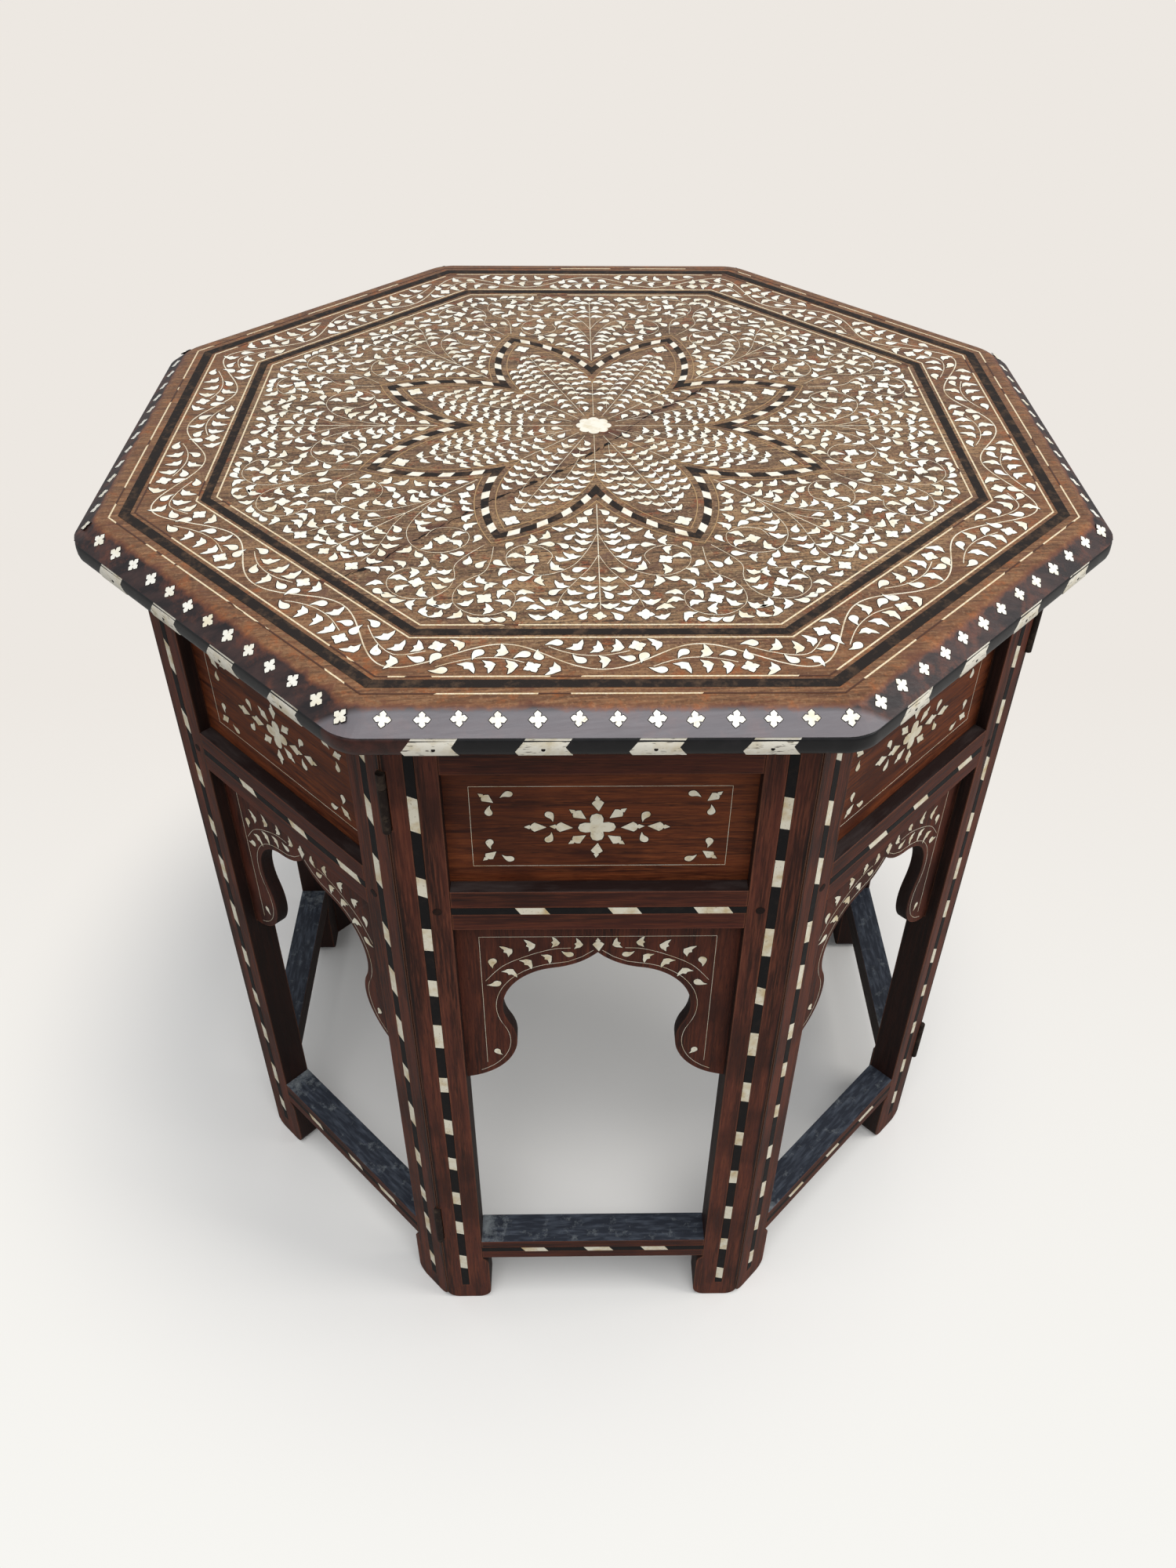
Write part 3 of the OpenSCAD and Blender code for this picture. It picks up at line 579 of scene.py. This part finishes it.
def top_wood_material():
    """Sun-faded rosewood: grain along X, redder on the worn ridge and nearly black on the slope."""
    material, tree, surface, coordinates = new_material("sun_faded_rosewood_top")
    parts, level_place, radius = measured(tree, coordinates)
    grain = add_node(tree, "Mapping", {
        "Vector": coordinates, "Rotation": (0, 0, math.radians(6)), "Scale": (12, 1, 1)},
        vector_type="TEXTURE")
    fibres = add_node(tree, "TexNoise", {
        "Vector": grain, "Scale": 1 / (1.6 * MM), "Detail": 4.0, "Roughness": 0.7})
    wear = add_node(tree, "TexNoise", {
        "Vector": coordinates, "Scale": 1 / (13 * MM), "Detail": 6.0, "Roughness": 0.7})
    colour = blotched(tree, grain, 11 * MM, "#5a402a", "#96734f", 0.38, 0.60, detail=5.0)
    colour = covered(tree, fibres, 0.45, 0.70, colour, "#c0a078", 0.85)
    colour = blotched(tree, coordinates, 60 * MM, colour, "#70513a", 0.50, 0.62, 0.6, 4.0)
    # Old wax has turned grey-green in some places, and rubbing has bared the red in others.
    colour = covered(tree, wear, 0.54, 0.66, colour, "#8c4826", 0.85)
    colour = covered(tree, wear, 0.45, 0.35, colour, "#686354", 0.75)
    # Real pores are 0.2 mm wide. These are 0.8 mm, so that they still show from a step away.
    colour = blotched(tree, grain, 3 * MM, colour, "#402a1c", 0.54, 0.64, 0.7)
    colour = blotched(tree, grain, 0.8 * MM, colour, "#20130b", 0.54, 0.66, 0.8, 1.0)
    colour = blotched(tree, coordinates, 1.5 * MM, colour, "#2c1e15", 0.52, 0.64, 0.6, 2.0)
    colour = blotched(tree, coordinates, 2.2 * MM, colour, "#b59672", 0.56, 0.66, 0.5, 2.0)
    # The wood is redder outside the inner band, where the sun has bleached it less.
    redder = covered(tree, fibres, 0.4, 0.7, "#55321c", "#96603a")
    redder = covered(tree, wear, 0.52, 0.66, redder, "#a2602f", 0.8)
    colour = covered(tree, radius, 215 * MM, 265 * MM, colour, redder, 0.6)
    # Chips along the split have bared dark red wood.
    stop, start = (Vector((*SPLIT[k], 0)) * MM for k in (0, -1))
    across = (stop - start).normalized().cross(Vector((0, 0, 1)))
    offset = add_node(tree, "VectorMath", {0: level_place, 1: across}, operation="DOT_PRODUCT")
    distance = add_node(tree, "Math", {0: offset, 1: start.dot(across)}, operation="SUBTRACT")
    distance = add_node(tree, "Math", {0: distance}, operation="ABSOLUTE")
    near_split = add_node(tree, "MapRange", {"Value": distance, "From Min": 22 * MM, "From Max": 2 * MM})
    within = add_node(tree, "MapRange", {"Value": radius, "From Min": 235 * MM, "From Max": 200 * MM})
    near_split = add_node(tree, "Math", {0: near_split, 1: within}, operation="MULTIPLY")
    bared = add_node(tree, "Math", {0: near_split, 1: wear}, operation="MULTIPLY")
    colour = covered(tree, bared, 0.40, 0.58, colour, "#4a281c", 0.7)
    # The ridge is rubbed to a red brown. Below it the slope keeps its black stain.
    wavering = add_node(tree, "Math", {0: wear, 1: 5 * MM, 2: parts[2]}, operation="MULTIPLY_ADD")
    colour = covered(tree, wavering, top_face + 2.35 * MM, top_face + 1.2 * MM, colour, "#7c4429", 0.8)
    slope_colour = blotched(tree, grain, 11 * MM, "#1f1718", "#3d2b28", 0.4, 0.62)
    slope_colour = covered(tree, wear, 0.50, 0.66, slope_colour, "#63392b", 0.8)
    # On the front slope, a blue-grey is painted over the stain as a painted reflection of the pale sky in the
    # polish.
    slope_colour = covered(tree, parts[1], -277 * MM, -280 * MM, slope_colour, "#7c777b", 0.72)
    colour = covered(tree, wavering, top_face + 2.0 * MM, top_face + 0.4 * MM, colour, slope_colour)
    finish_shader(tree, surface, colour, fibres, 0.3 * MM, 0.38, 0.6, 0.4)
    return material


board_piece = finish_piece("top_board_worn", board, top_wood_material(), "top")
weigh_normals(board_piece)
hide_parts("top_board")

# The edge strips: rounded ebony glued round the rim and worn at the corners. The left end of the
# front one was lost, and is patched in plain brown wood.
STRIP_PROFILE = [(0.15, 288.7), (0.9, 289.3), (3, 289.8), (5.25, 289.9), (7.5, 289.8), (9.0, 289.6),
                 (9.7, 289.2), (10.15, 288.7), (10.35, 288.1), (10.35, 283.9), (0.15, 283.9)]
strip_corner_round = 8 * MM


def strip_material():
    """Oiled ebony, with the patch of brown wood at the left end of the front."""
    material, tree, surface, coordinates = new_material("oiled_ebony_rim")
    rubbing = add_node(tree, "TexNoise", {
        "Vector": coordinates, "Scale": 1 / (8 * MM), "Detail": 6.0, "Roughness": 0.7})
    ebony_colour = covered(tree, rubbing, 0.5, 0.75, "#0b0a0d", "#211c1f", 0.7)
    brown = covered(tree, rubbing, 0.4, 0.65, "#2c120c", "#4a231a")
    parts = add_node(tree, "SeparateXYZ", {0: coordinates}).outputs
    at_left = covered(tree, parts[0], -87.5 * MM, -88 * MM, ebony_colour, brown)
    colour = covered(tree, parts[1], -280 * MM, -281 * MM, ebony_colour, at_left)
    finish_shader(tree, surface, colour, rubbing, 0.12 * MM, 0.25, 0.42, 0.5)
    return material


rim = bmesh.new()
loops = []
for height, apothem in STRIP_PROFILE:
    corners = add_octagon(rim, apothem * MM, underside + height * MM, False)
    loops.append(list({e for v in corners for e in v.link_edges}))
for first, second in zip(loops, loops[1:] + loops[:1]):
    bmesh.ops.bridge_loops(rim, edges=first + second)
outer_radius = 287.9 * MM / math.cos(HALF_TURN)
corner_edges = [e for e in rim.edges if abs(e.verts[0].co.z - e.verts[1].co.z) > 0.2 * MM
                and min(v.co.xy.length for v in e.verts) > outer_radius]
round_edges(rim, corner_edges, strip_corner_round, 6)
rim_piece = finish_piece("edge_strips_worn", rim, strip_material(), "top")
weigh_normals(rim_piece)
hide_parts("top_edge_strips")

# The bands and bone lines of the top, let into its face. The petals are edged with the same two,
# cut on a slant. Parts of the outer line have fallen out, and dirt fills the joints of the rest.
petal_centre = (71.6, -65.3)
petal_curve = 96


def line_bone_material():
    """Bone that is broken and missing towards the rim, and thin and brown round the petals."""
    material, tree, surface, coordinates = new_material("sawn_bone_lines")
    parts, _, radius = measured(tree, coordinates)
    canals = add_node(tree, "TexNoise", {
        "Vector": coordinates, "Scale": 1 / (1.6 * MM), "Detail": 3.0, "Roughness": 0.7})
    colour = blotched(tree, coordinates, 9 * MM, "#f6f0e0", "#e0d2b2", 0.48, 0.72)
    # The canals of the edge pieces run along the rim as thin dark streaks.
    streaks = add_node(tree, "Mapping", {"Vector": coordinates, "Scale": (5, 5, 1)}, vector_type="TEXTURE")
    rim_colour = blotched(tree, streaks, 1.1 * MM, colour, "#4a3a2c", 0.60, 0.70, 0.85, 2.0)
    # A petal's side is an arc about one centre. Folding the eight petals into one gives its distance.
    angle = add_node(tree, "Math", {0: parts[1], 1: parts[0]}, operation="ARCTAN2")
    folded = add_node(tree, "Math", {0: angle, 1: HALF_TURN}, operation="PINGPONG")
    from_axis = add_node(tree, "Math", {0: HALF_TURN, 1: folded}, operation="SUBTRACT")
    turned_place = add_node(tree, "VectorRotate", {
        "Vector": add_node(tree, "CombineXYZ", {0: radius}), "Angle": from_axis}, rotation_type="Z_AXIS")
    to_centre = add_node(tree, "VectorMath", {
        0: turned_place, 1: (petal_centre[0] * MM, petal_centre[1] * MM, 0)}, operation="DISTANCE")
    from_band = add_node(tree, "Math", {0: to_centre, 1: petal_curve * MM}, operation="SUBTRACT")
    from_band = add_node(tree, "Math", {0: from_band}, operation="ABSOLUTE")
    petal_colour = covered(tree, from_band, 3 * MM, 4 * MM, colour, "#ab8a60")
    # The long lines are yellower, and parts of the outer one are missing.
    line_colour = covered(tree, canals, 0.4, 0.6, "#f2e4c6", "#dcc49a")
    breaks = add_node(tree, "TexNoise", {"Vector": coordinates, "Scale": 1 / (26 * MM), "Detail": 1.0})
    loss_limit = add_node(tree, "MapRange", {
        "Value": radius, "From Min": 262 * MM, "From Max": 272 * MM, "To Min": 0.7, "To Max": 0.5})
    lost = add_node(tree, "Math", {0: breaks, 1: loss_limit}, operation="GREATER_THAN")
    line_colour = covered(tree, lost, 0, 1, line_colour, "#4a2a1a")
    colour = covered(tree, radius, 50 * MM, 60 * MM, colour, petal_colour)
    colour = covered(tree, radius, 160 * MM, 190 * MM, colour, line_colour)
    colour = covered(tree, parts[2], top_face - 0.5 * MM, top_face - 1 * MM, colour, rim_colour)
    finish_shader(tree, surface, colour, canals, 0.1 * MM, 0.36, 0.46, 0.4)
    return material


top_bone = bone_material("sawn_bone_top", "#fbf8ec", "#ede3c6", "#9a8058", 16 * MM)
dress("top_ebony_bands", worn_material("oiled_ebony_worn", "#231c18", "#6a523e", 0.55))
dress("top_bone_lines", line_bone_material())

# The pins: a thin black peg of buffalo horn through every bone piece of the edge.
edge_pitch = 52 * MM
pin_radius = 1.0 * MM
pin_z = underside + 3.9 * MM
pin_face = 289.96 * MM
pin_length = 1.9 * MM
pins = bmesh.new()
for number in range(len(PANELS)):
    for k in (-1.5, -0.5, 0.5, 1.5):
        drive(pins, number, k * edge_pitch + hand.uniform(-3, 1) * MM, pin_face, pin_z,
              pin_radius, pin_length, 14)
finish_piece("top_edge_pins", pins, lac, "top")

# The flowers on the slope: thirteen small square flowers of bone to a side, each in black lac.
# They were set out from the right, so the row stands a little off the middle.
flower_count = 13
flower_pitch = 17.8
row_shift = 6
row_inset = 5.8 * MM
slope_tilt = math.atan2(9.5, 13.5)
slope_z = top_face - row_inset * math.tan(slope_tilt)
slope_flowers = (bmesh.new(), bmesh.new())
for number in range(len(PANELS)):
    slope = to_side(number) @ Matrix.Translation((0, -(flat_apothem + row_inset), slope_z))
    slope = slope @ Matrix.Rotation(slope_tilt, 4, "X")
    for k in range(flower_count):
        x = (k - (flower_count - 1) / 2) * flower_pitch + row_shift + hand.uniform(-0.8, 0.8)
        lay(slope_flowers, "flower", slope, x, hand.uniform(-0.5, 0.5), hand.uniform(-0.2, 0.2),
            hand.uniform(0.88, 1.0))
finish_inlay("slope_flowers", slope_flowers, top_bone, "top")

# The vine round the border: one wavy stem of bone with a leafy branch in each of its hollows.
# It runs the same way on all sides and turns the corners in a round bend.
on_top = Matrix.Translation((0, 0, top_face))
border_apothem = 240.5
border_swing = 12
border_half = border_apothem * math.tan(HALF_TURN)
half_wave = border_half / 2
hollows = 32
vine_steps = 24 * hollows
stem_clear = 0.35
top_strings = (bmesh.new(), bmesh.new())
border = (bmesh.new(), bmesh.new())


def turned(turn, x, y):
    """Where a place of the drawn pattern comes to lie after a turn."""
    return tuple((turn @ Vector((x, y, 0)))[:2])


def on_border(s, apothem):
    """The place on the top, in mm, at this distance along the border from the front's middle."""
    number = math.floor((s + border_half) / (2 * border_half))
    return turned(to_side(number), (s - number * 2 * border_half) * apothem / border_apothem, -apothem)


def border_turn(s):
    """The direction of the border there, rounded over the corners."""
    number = math.floor((s + border_half) / (2 * border_half))
    from_middle = (s - number * 2 * border_half) / border_half
    bend = math.copysign(max(0.0, abs(from_middle) - 0.75) / 0.25, from_middle)
    return number * SIDE_TURN + bend * HALF_TURN


def relaxed(points, rounds, closed):
    """The same points with their corners evened out."""
    for _ in range(rounds):
        count = len(points)
        keep = [] if closed else [0, count - 1]
        points = [points[k] if k in keep else tuple(
            (points[k - 1][i] + 2 * points[k][i] + points[(k + 1) % count][i]) / 4 for i in (0, 1))
            for k in range(count)]
    return points


def string_with_lac(points, width):
    """Lays a stem of bone along these points of the top, with lac on both sides of it."""
    lay_string(top_strings[0], on_top, points, width, slip_proud)
    lay_string(top_strings[1], on_top, points, width + 2 * stem_clear, lac_proud - 0.02 * MM)


vine = []
for k in range(vine_steps):
    s = k / vine_steps * hollows * half_wave
    vine.append(on_border(s, border_apothem + border_swing * math.cos(math.pi * s / half_wave)))
vine = relaxed(vine, 40, True)
string_with_lac(vine + vine[:1], 1.2)

# A branch of the vine, in mm from the middle of its hollow and from the border's middle line.
# Its leaves are on the open side (1) or on the side of the vine (-1), and each lies along a part
# of the stem that has turned this far from the border.
BRANCH = [(-26.5, -8), (-21.7, -5.1), (-13, -1.5), (-6, -0.6), (1.7, -0.8), (7, -2.1), (13.5, -4.6)]
BRANCH_LEAVES = [
    ("drop", -22.9, -10.9, 1, -31), ("bird", -12.3, -7.8, 1, -20), ("bird", -1.9, -6.7, 1, -5),
    ("bird", 8.1, -7.6, 1, 12), ("bird", 27.9, -9.8, 1, 40), ("drop", -10.2, 3.3, -1, -15),
    ("bird", 1.2, 3.6, -1, 0), ("drop", 12.9, 1.9, -1, 15), ("drop", 20.2, -0.4, 1, 35),
]
for k in range(hollows):
    middle = k * half_wave
    inner = 1 if k % 2 == 0 else -1
    branch = [on_border(middle + x, border_apothem + inner * y) for x, y in smooth_path(BRANCH, 3)]
    string_with_lac(relaxed(branch, 4, False), 0.8)
    tip = on_border(middle + 17.7, border_apothem - inner * 8.4)
    lay(border, "blossom", on_top, *tip, border_turn(middle + 18) + hand.uniform(0.2, 0.5), 1.05)
    for kind, x, y, side, bend in BRANCH_LEAVES:
        s = middle + x + hand.uniform(-0.5, 0.5)
        place = on_border(s, border_apothem + inner * y + hand.uniform(-0.4, 0.4))
        angle, flipped = leaf(kind, border_turn(s) + inner * math.radians(bend), inner * side)
        lay(border, kind, on_top, *place, angle + hand.uniform(-0.2, 0.2), hand.uniform(0.94, 1.04), flipped)
finish_inlay("border_leaves", border, top_bone, "top")

# The petals: eight pointed leaves round the middle. Each has a straight stem and two bent ones,
# rows of leaves in pairs that lean outwards, and one small flower near its tip.
stem_start, stem_end = 15, 114
valley_start, valley_end = 13, 61
fine_stem_width, bent_stem_width = 0.5, 0.35
tip_flower = 124.5
petal_line_inset = 6.3
petal_lean = 2.0
leaf_pitch = 7.9
split_reach = 3.4
# Distance from the petal's axis, and the first and last place along it, of each row of leaves.
ROWS = [(5.3, 24, 114), (13.0, 36, 104), (20.3, 52, 92)]
petals = (bmesh.new(), bmesh.new())


def off_split(x, y):
    """True where a slip isn't on the split, which has thrown out the ones that it crosses."""
    for (ax, ay), (bx, by) in zip(SPLIT, SPLIT[1:]):
        dx, dy = bx - ax, by - ay
        t = max(0.0, min(1.0, ((x - ax) * dx + (y - ay) * dy) / (dx * dx + dy * dy)))
        if math.dist((x, y), (ax + t * dx, ay + t * dy)) < split_reach:
            return False
    return True


def petal_room(u, v):
    """Distance from a place in a petal, in mm, to the middle of the petal's edging."""
    return petal_curve - math.hypot(u - petal_centre[0], abs(v) - petal_centre[1])


for number in range(len(PANELS)):
    axis, valley = to_side(number - 1.5), to_side(number - 2)
    string_with_lac([turned(axis, u, 0) for u in (stem_start, stem_end)], fine_stem_width)
    string_with_lac([turned(valley, u, 0) for u in (valley_start, valley_end)], fine_stem_width)
    for side in (-1, 1):
        bent = [(26, side * 1.5), (42, side * 7), (62, side * 9.2), (84, side * 9), (104, side * 6)]
        string_with_lac([turned(axis, u, v) for u, v in smooth_path(bent, 4)], bent_stem_width)
    lay(petals, "blossom", on_top @ axis, tip_flower, 0, 0, 1.25)
    for v, first, last in ROWS:
        for step in range(math.ceil((last - first) / leaf_pitch)):
            u = first + step * leaf_pitch
            narrowed = v * (1 - 0.35 * max(0.0, (u - 80) / 35))
            room = min(petal_room(u, narrowed) - petal_line_inset, u * math.sin(HALF_TURN) - narrowed + 1)
            if room <= 2.2:
                continue
            for side in (-1, 1):
                kind = "bird" if u > 30 and room > 3 else "drop"
                angle, flipped = leaf(kind, 0.0, side, petal_lean)
                x, y = u + hand.uniform(-0.5, 0.5), side * narrowed + hand.uniform(-0.4, 0.4)
                if off_split(*turned(axis, x, y)):
                    lay(petals, kind, on_top @ axis, x, y, angle + hand.uniform(-0.15, 0.15),
                        hand.uniform(0.74, 0.84) if room > 3 else 0.66, flipped)
finish_inlay("petal_leaves", petals, top_bone, "top")

# The field between the petals and the border. Stems spring from the petals' valleys and tips, and
# some of them end in a scroll round a flower. Leaves in pairs follow them and fill what is left.
field_edge = 213.6
HALF_FIELD_STEMS = [
    [(0, -97), (0, -150), (0, -201)],
    [(0, -150), (5, -163), (12, -175), (19, -188), (22, -199)],
    [(0, -128), (6, -146), (14, -161), (26, -169), (38, -169), (47, -161), (48.5, -149), (41, -140.5),
     (31, -142), (24.5, -150), (27, -159)],
    [(56, -142), (57, -156), (60, -167), (68, -174), (74, -184), (73.5, -196), (64, -205), (52, -205),
     (44, -198), (43.5, -187), (50, -180.5)],
]
FIELD_FLOWERS = [(0, -206.5, 0, 0.85), (22.5, -205.5, 0, 1.05), (8.2, -114, 30, 0.9), (35.5, -154.5, 30, 1.1),
                 (58.5, -191.5, 30, 1.1)]
stem_width = 0.75
leaf_across, leaf_along = 8.9, 6.5
leaf_lean = 1.75
leaf_reach = 4.9
leaf_room, bird_room = 3.4, 4.2
half_leaf_pitch = 4.1
row_step = 2.2
stems = [smooth_path(stem, 2.5) for stem in HALF_FIELD_STEMS]
motifs = [("blossom", x, y, math.radians(turn), size, False) for x, y, turn, size in FIELD_FLOWERS]


def field_room(x, y):
    """How far a place in the right half of the front's field lies inside the field's edges, in mm."""
    radius, angle = math.hypot(x, y), math.atan2(x, -y)
    u, v = radius * math.cos(HALF_TURN - angle), radius * math.sin(HALF_TURN - angle)
    to_petal = -petal_room(u, v) - petal_line_inset
    to_corner = (-y * math.tan(HALF_TURN) - x) * math.cos(HALF_TURN)
    return min(to_petal, field_edge + y, to_corner + 0.8, x + 0.4)


def add_leaf(x, y, heading, side, bird_share, smallest):
    """Adds a leaf that lies across this heading, if it fits between the motifs and the stems."""
    if field_room(x, y) < leaf_room:
        return
    if any(math.hypot(x - a, y - b) <= 3.5 for stem in stems for a, b in stem):
        return
    for _, other_x, other_y, _, _, _ in motifs:
        dx, dy = x - other_x, y - other_y
        along = (dx * math.cos(heading) + dy * math.sin(heading)) / leaf_along
        across = (dx * math.sin(heading) - dy * math.cos(heading)) / leaf_across
        if math.hypot(along, across) < 1:
            return
    kind = "bird" if field_room(x, y) > bird_room and hand.random() < bird_share else "drop"
    angle, flipped = leaf(kind, heading, side, leaf_lean)
    motifs.append((kind, x, y, angle, hand.uniform(smallest, smallest + 0.09), flipped))


for stem in stems:
    travelled, due, side = 0.0, 5.0, 1
    for (ax, ay), (bx, by) in zip(stem, stem[1:]):
        travelled += math.hypot(bx - ax, by - ay)
        if travelled < due:
            continue
        due += half_leaf_pitch
        heading = math.atan2(by - ay, bx - ax)
        side = -side
        x = bx + leaf_reach * math.cos(heading + side * 1.5)
        y = by + leaf_reach * math.sin(heading + side * 1.5)
        add_leaf(x, y, heading, side, 0.8, 0.86)
# What is left is filled row by row, with leaves that lie like those of the nearest stem.
for row in range(int(140 / row_step)):
    for column in range(int(95 / row_step)):
        x, y = column * row_step + 3.6 + (row % 2) * row_step / 2, -(78 + row * row_step)
        if field_room(x, y) < leaf_room:
            continue
        _, stem, k = min((math.hypot(x - stem[k][0], y - stem[k][1]), stem, k)
                         for stem in stems for k in range(len(stem) - 1))
        (ax, ay), (bx, by) = stem[k:k + 2]
        across = (bx - ax) * (y - ay) - (by - ay) * (x - ax)
        add_leaf(x, y, math.atan2(by - ay, bx - ax), math.copysign(1, across), 0.7, 0.84)
field = (bmesh.new(), bmesh.new())
for number in range(len(PANELS)):
    turn = to_side(number)
    for side in (-1, 1):
        for stem in stems:
            # The middle stem is its own mirror image, so it is laid once.
            on_axis = stem[-1][0] == 0
            if not on_axis or side > 0:
                width = stem_width if on_axis else fine_stem_width
                string_with_lac([turned(turn, side * x, y) for x, y in stem], width)
        for kind, x, y, angle, size, flipped in motifs:
            if x == 0 and side < 0:
                continue
            x, y = side * x + hand.uniform(-0.45, 0.45), y + hand.uniform(-0.45, 0.45)
            if off_split(*turned(turn, x, y)):
                lay(field, kind, on_top @ turn, x, y,
                    (angle if side > 0 else math.pi - angle) + hand.uniform(-0.16, 0.16),
                    size * hand.uniform(0.94, 1.06), flipped == (side > 0))
finish_inlay("field_leaves", field, top_bone, "top")
string_bone = bone_material("sawn_bone_stringing", "#f3ead2", "#c6ac84", "#7a5836", 14 * MM)
finish_inlay("top_strings", top_strings, string_bone, "top")

# The split: a crack along the grain of two old joints, dark with dirt. It is drawn as a thin
# uneven sliver, lying a hair above the wood, wide where chips have broken out.
crack = bmesh.new()
crack_proud = 0.05 * MM
for (ax, ay), (bx, by) in zip(SPLIT, SPLIT[1:]):
    length = math.dist((ax, ay), (bx, by))
    heading = math.atan2(by - ay, bx - ax)
    pieces = max(2, round(length / 4))
    for k in range(pieces):
        t = (k + 0.5) / pieces
        thick = hand.choice((0.25, 0.3, 0.5, 0.5, 1.4)) * hand.uniform(0.8, 1.2)
        if hand.random() < 0.15:
            continue
        x, y = ax + t * (bx - ax) + hand.uniform(-0.9, 0.9), ay + t * (by - ay) + hand.uniform(-0.9, 0.9)
        place = Matrix.Translation((x * MM, y * MM, top_face + crack_proud - slip_depth / 2))
        place = place @ Matrix.Rotation(heading + hand.uniform(-0.35, 0.35), 4, "Z")
        size = Matrix.Diagonal((length / pieces * 0.75 * MM, thick * MM, slip_depth, 1))
        bmesh.ops.create_cone(crack, cap_ends=True, segments=7, radius1=1, radius2=1, depth=1,
                              matrix=place @ size)
finish_piece("top_split_dirt", crack, lac, "top")

# The floor: a plain pale sheet that runs out of sight. Far from the table it shows its own
# colour to the camera, so that it has no dark horizon. It gives back less light to the table than
# it shows, as a small sheet of paper would.
floor_size = 40
floor_drop = 0.3 * MM


def floor_material():
    """Pale paper, lit near the table and showing its own colour away from it."""
    material, tree, surface, coordinates = new_material("pale_paper")
    seen = add_node(tree, "LightPath").outputs["Is Camera Ray"]
    paper = add_node(tree, "Mix", {0: seen, 6: "#a8a6a2", 7: "#f4f2ee"}, data_type="RGBA")
    matt = add_node(tree, "BsdfDiffuse", {"Color": paper})
    depth = add_node(tree, "SeparateXYZ", {0: coordinates}).outputs[1]
    shown = covered(tree, depth, -0.45, 0.5, "#f7f6f2", "#ede8e2")
    glow = add_node(tree, "Emission", {"Color": shown, "Strength": 1.0})
    distance = add_node(tree, "VectorMath", {0: coordinates, 1: (-0.05, 0.03, 0)}, operation="DISTANCE")
    far = add_node(tree, "MapRange", {
        "Value": distance, "From Min": 0.29, "From Max": 0.50}, interpolation_type="SMOOTHSTEP")
    share = add_node(tree, "Math", {0: seen, 1: far}, operation="MULTIPLY")
    mixed = add_node(tree, "MixShader", {0: share, 1: matt, 2: glow})
    tree.links.new(mixed.outputs[0], surface)
    return material


floor_pile = bmesh.new()
bmesh.ops.create_grid(floor_pile, x_segments=1, y_segments=1, size=floor_size / 2,
                      matrix=Matrix.Translation((0, 0, -floor_drop)))
floor_mesh = bpy.data.meshes.new("floor")
floor_pile.to_mesh(floor_mesh)
floor_pile.free()
floor_mesh.materials.append(floor_material())
floor = bpy.data.objects.new("floor", floor_mesh)
bpy.context.scene.collection.objects.link(floor)

# The light: a pale sky all round, a large soft lamp over the front, and a weaker one from the
# right that throws the shadow to the left. The camera sees the sky in the far floor's colour.
world = bpy.data.worlds.new("pale_sky")
world.use_nodes = True
sky_tree = world.node_tree
sky_tree.nodes.clear()
sky = add_node(sky_tree, "Background", {"Color": (0.95, 0.97, 1.0, 1.0), "Strength": 0.55})
backdrop = add_node(sky_tree, "Background", {"Color": "#ede8e2", "Strength": 1.0})
seen_sky = add_node(sky_tree, "LightPath").outputs["Is Camera Ray"]
mixed_sky = add_node(sky_tree, "MixShader", {0: seen_sky, 1: sky, 2: backdrop})
add_node(sky_tree, "OutputWorld", {"Surface": mixed_sky})
bpy.context.scene.world = world


def lamp(name, spot, target, size, power, colour):
    light = bpy.data.lights.new(name, "AREA")
    light.shape, light.size, light.energy, light.color = "SQUARE", size, power, colour
    holder = bpy.data.objects.new(name, light)
    holder.location = spot
    holder.rotation_euler = (Vector(target) - Vector(spot)).to_track_quat("-Z", "Y").to_euler()
    bpy.context.scene.collection.objects.link(holder)


lamp("overhead", (0.0, -1.05, 2.6), (0, -0.1, 0.5), 1.4, 29, (0.97, 0.98, 1.0))
lamp("right", (2.1, -0.5, 2.0), (0, 0, 0.3), 1.2, 26, (1.0, 0.98, 0.95))

# The camera: held above the front of the table and tilted down at it, as a person stands.
camera_height = 0.9463
camera_back = 0.7273
look_height = 0.3419
camera_yaw = math.radians(-1.25)
camera_roll = math.radians(0.60)
camera_data = bpy.data.cameras.new("camera")
camera_data.lens, camera_data.sensor_width = 29.18, 36
camera_data.shift_x, camera_data.shift_y = -0.0016, -0.0366
camera = bpy.data.objects.new("camera", camera_data)
spot = Matrix.Rotation(camera_yaw, 3, "Z") @ Vector((0, -camera_back, camera_height))
towards = Vector((0, 0, look_height)) - spot
turn = towards.to_track_quat("-Z", "Y").to_matrix() @ Matrix.Rotation(camera_roll, 3, "Z")
camera.matrix_world = Matrix.Translation(spot) @ turn.to_4x4()
bpy.context.scene.collection.objects.link(camera)
bpy.context.scene.camera = camera
bpy.context.scene.view_settings.view_transform = "Standard"
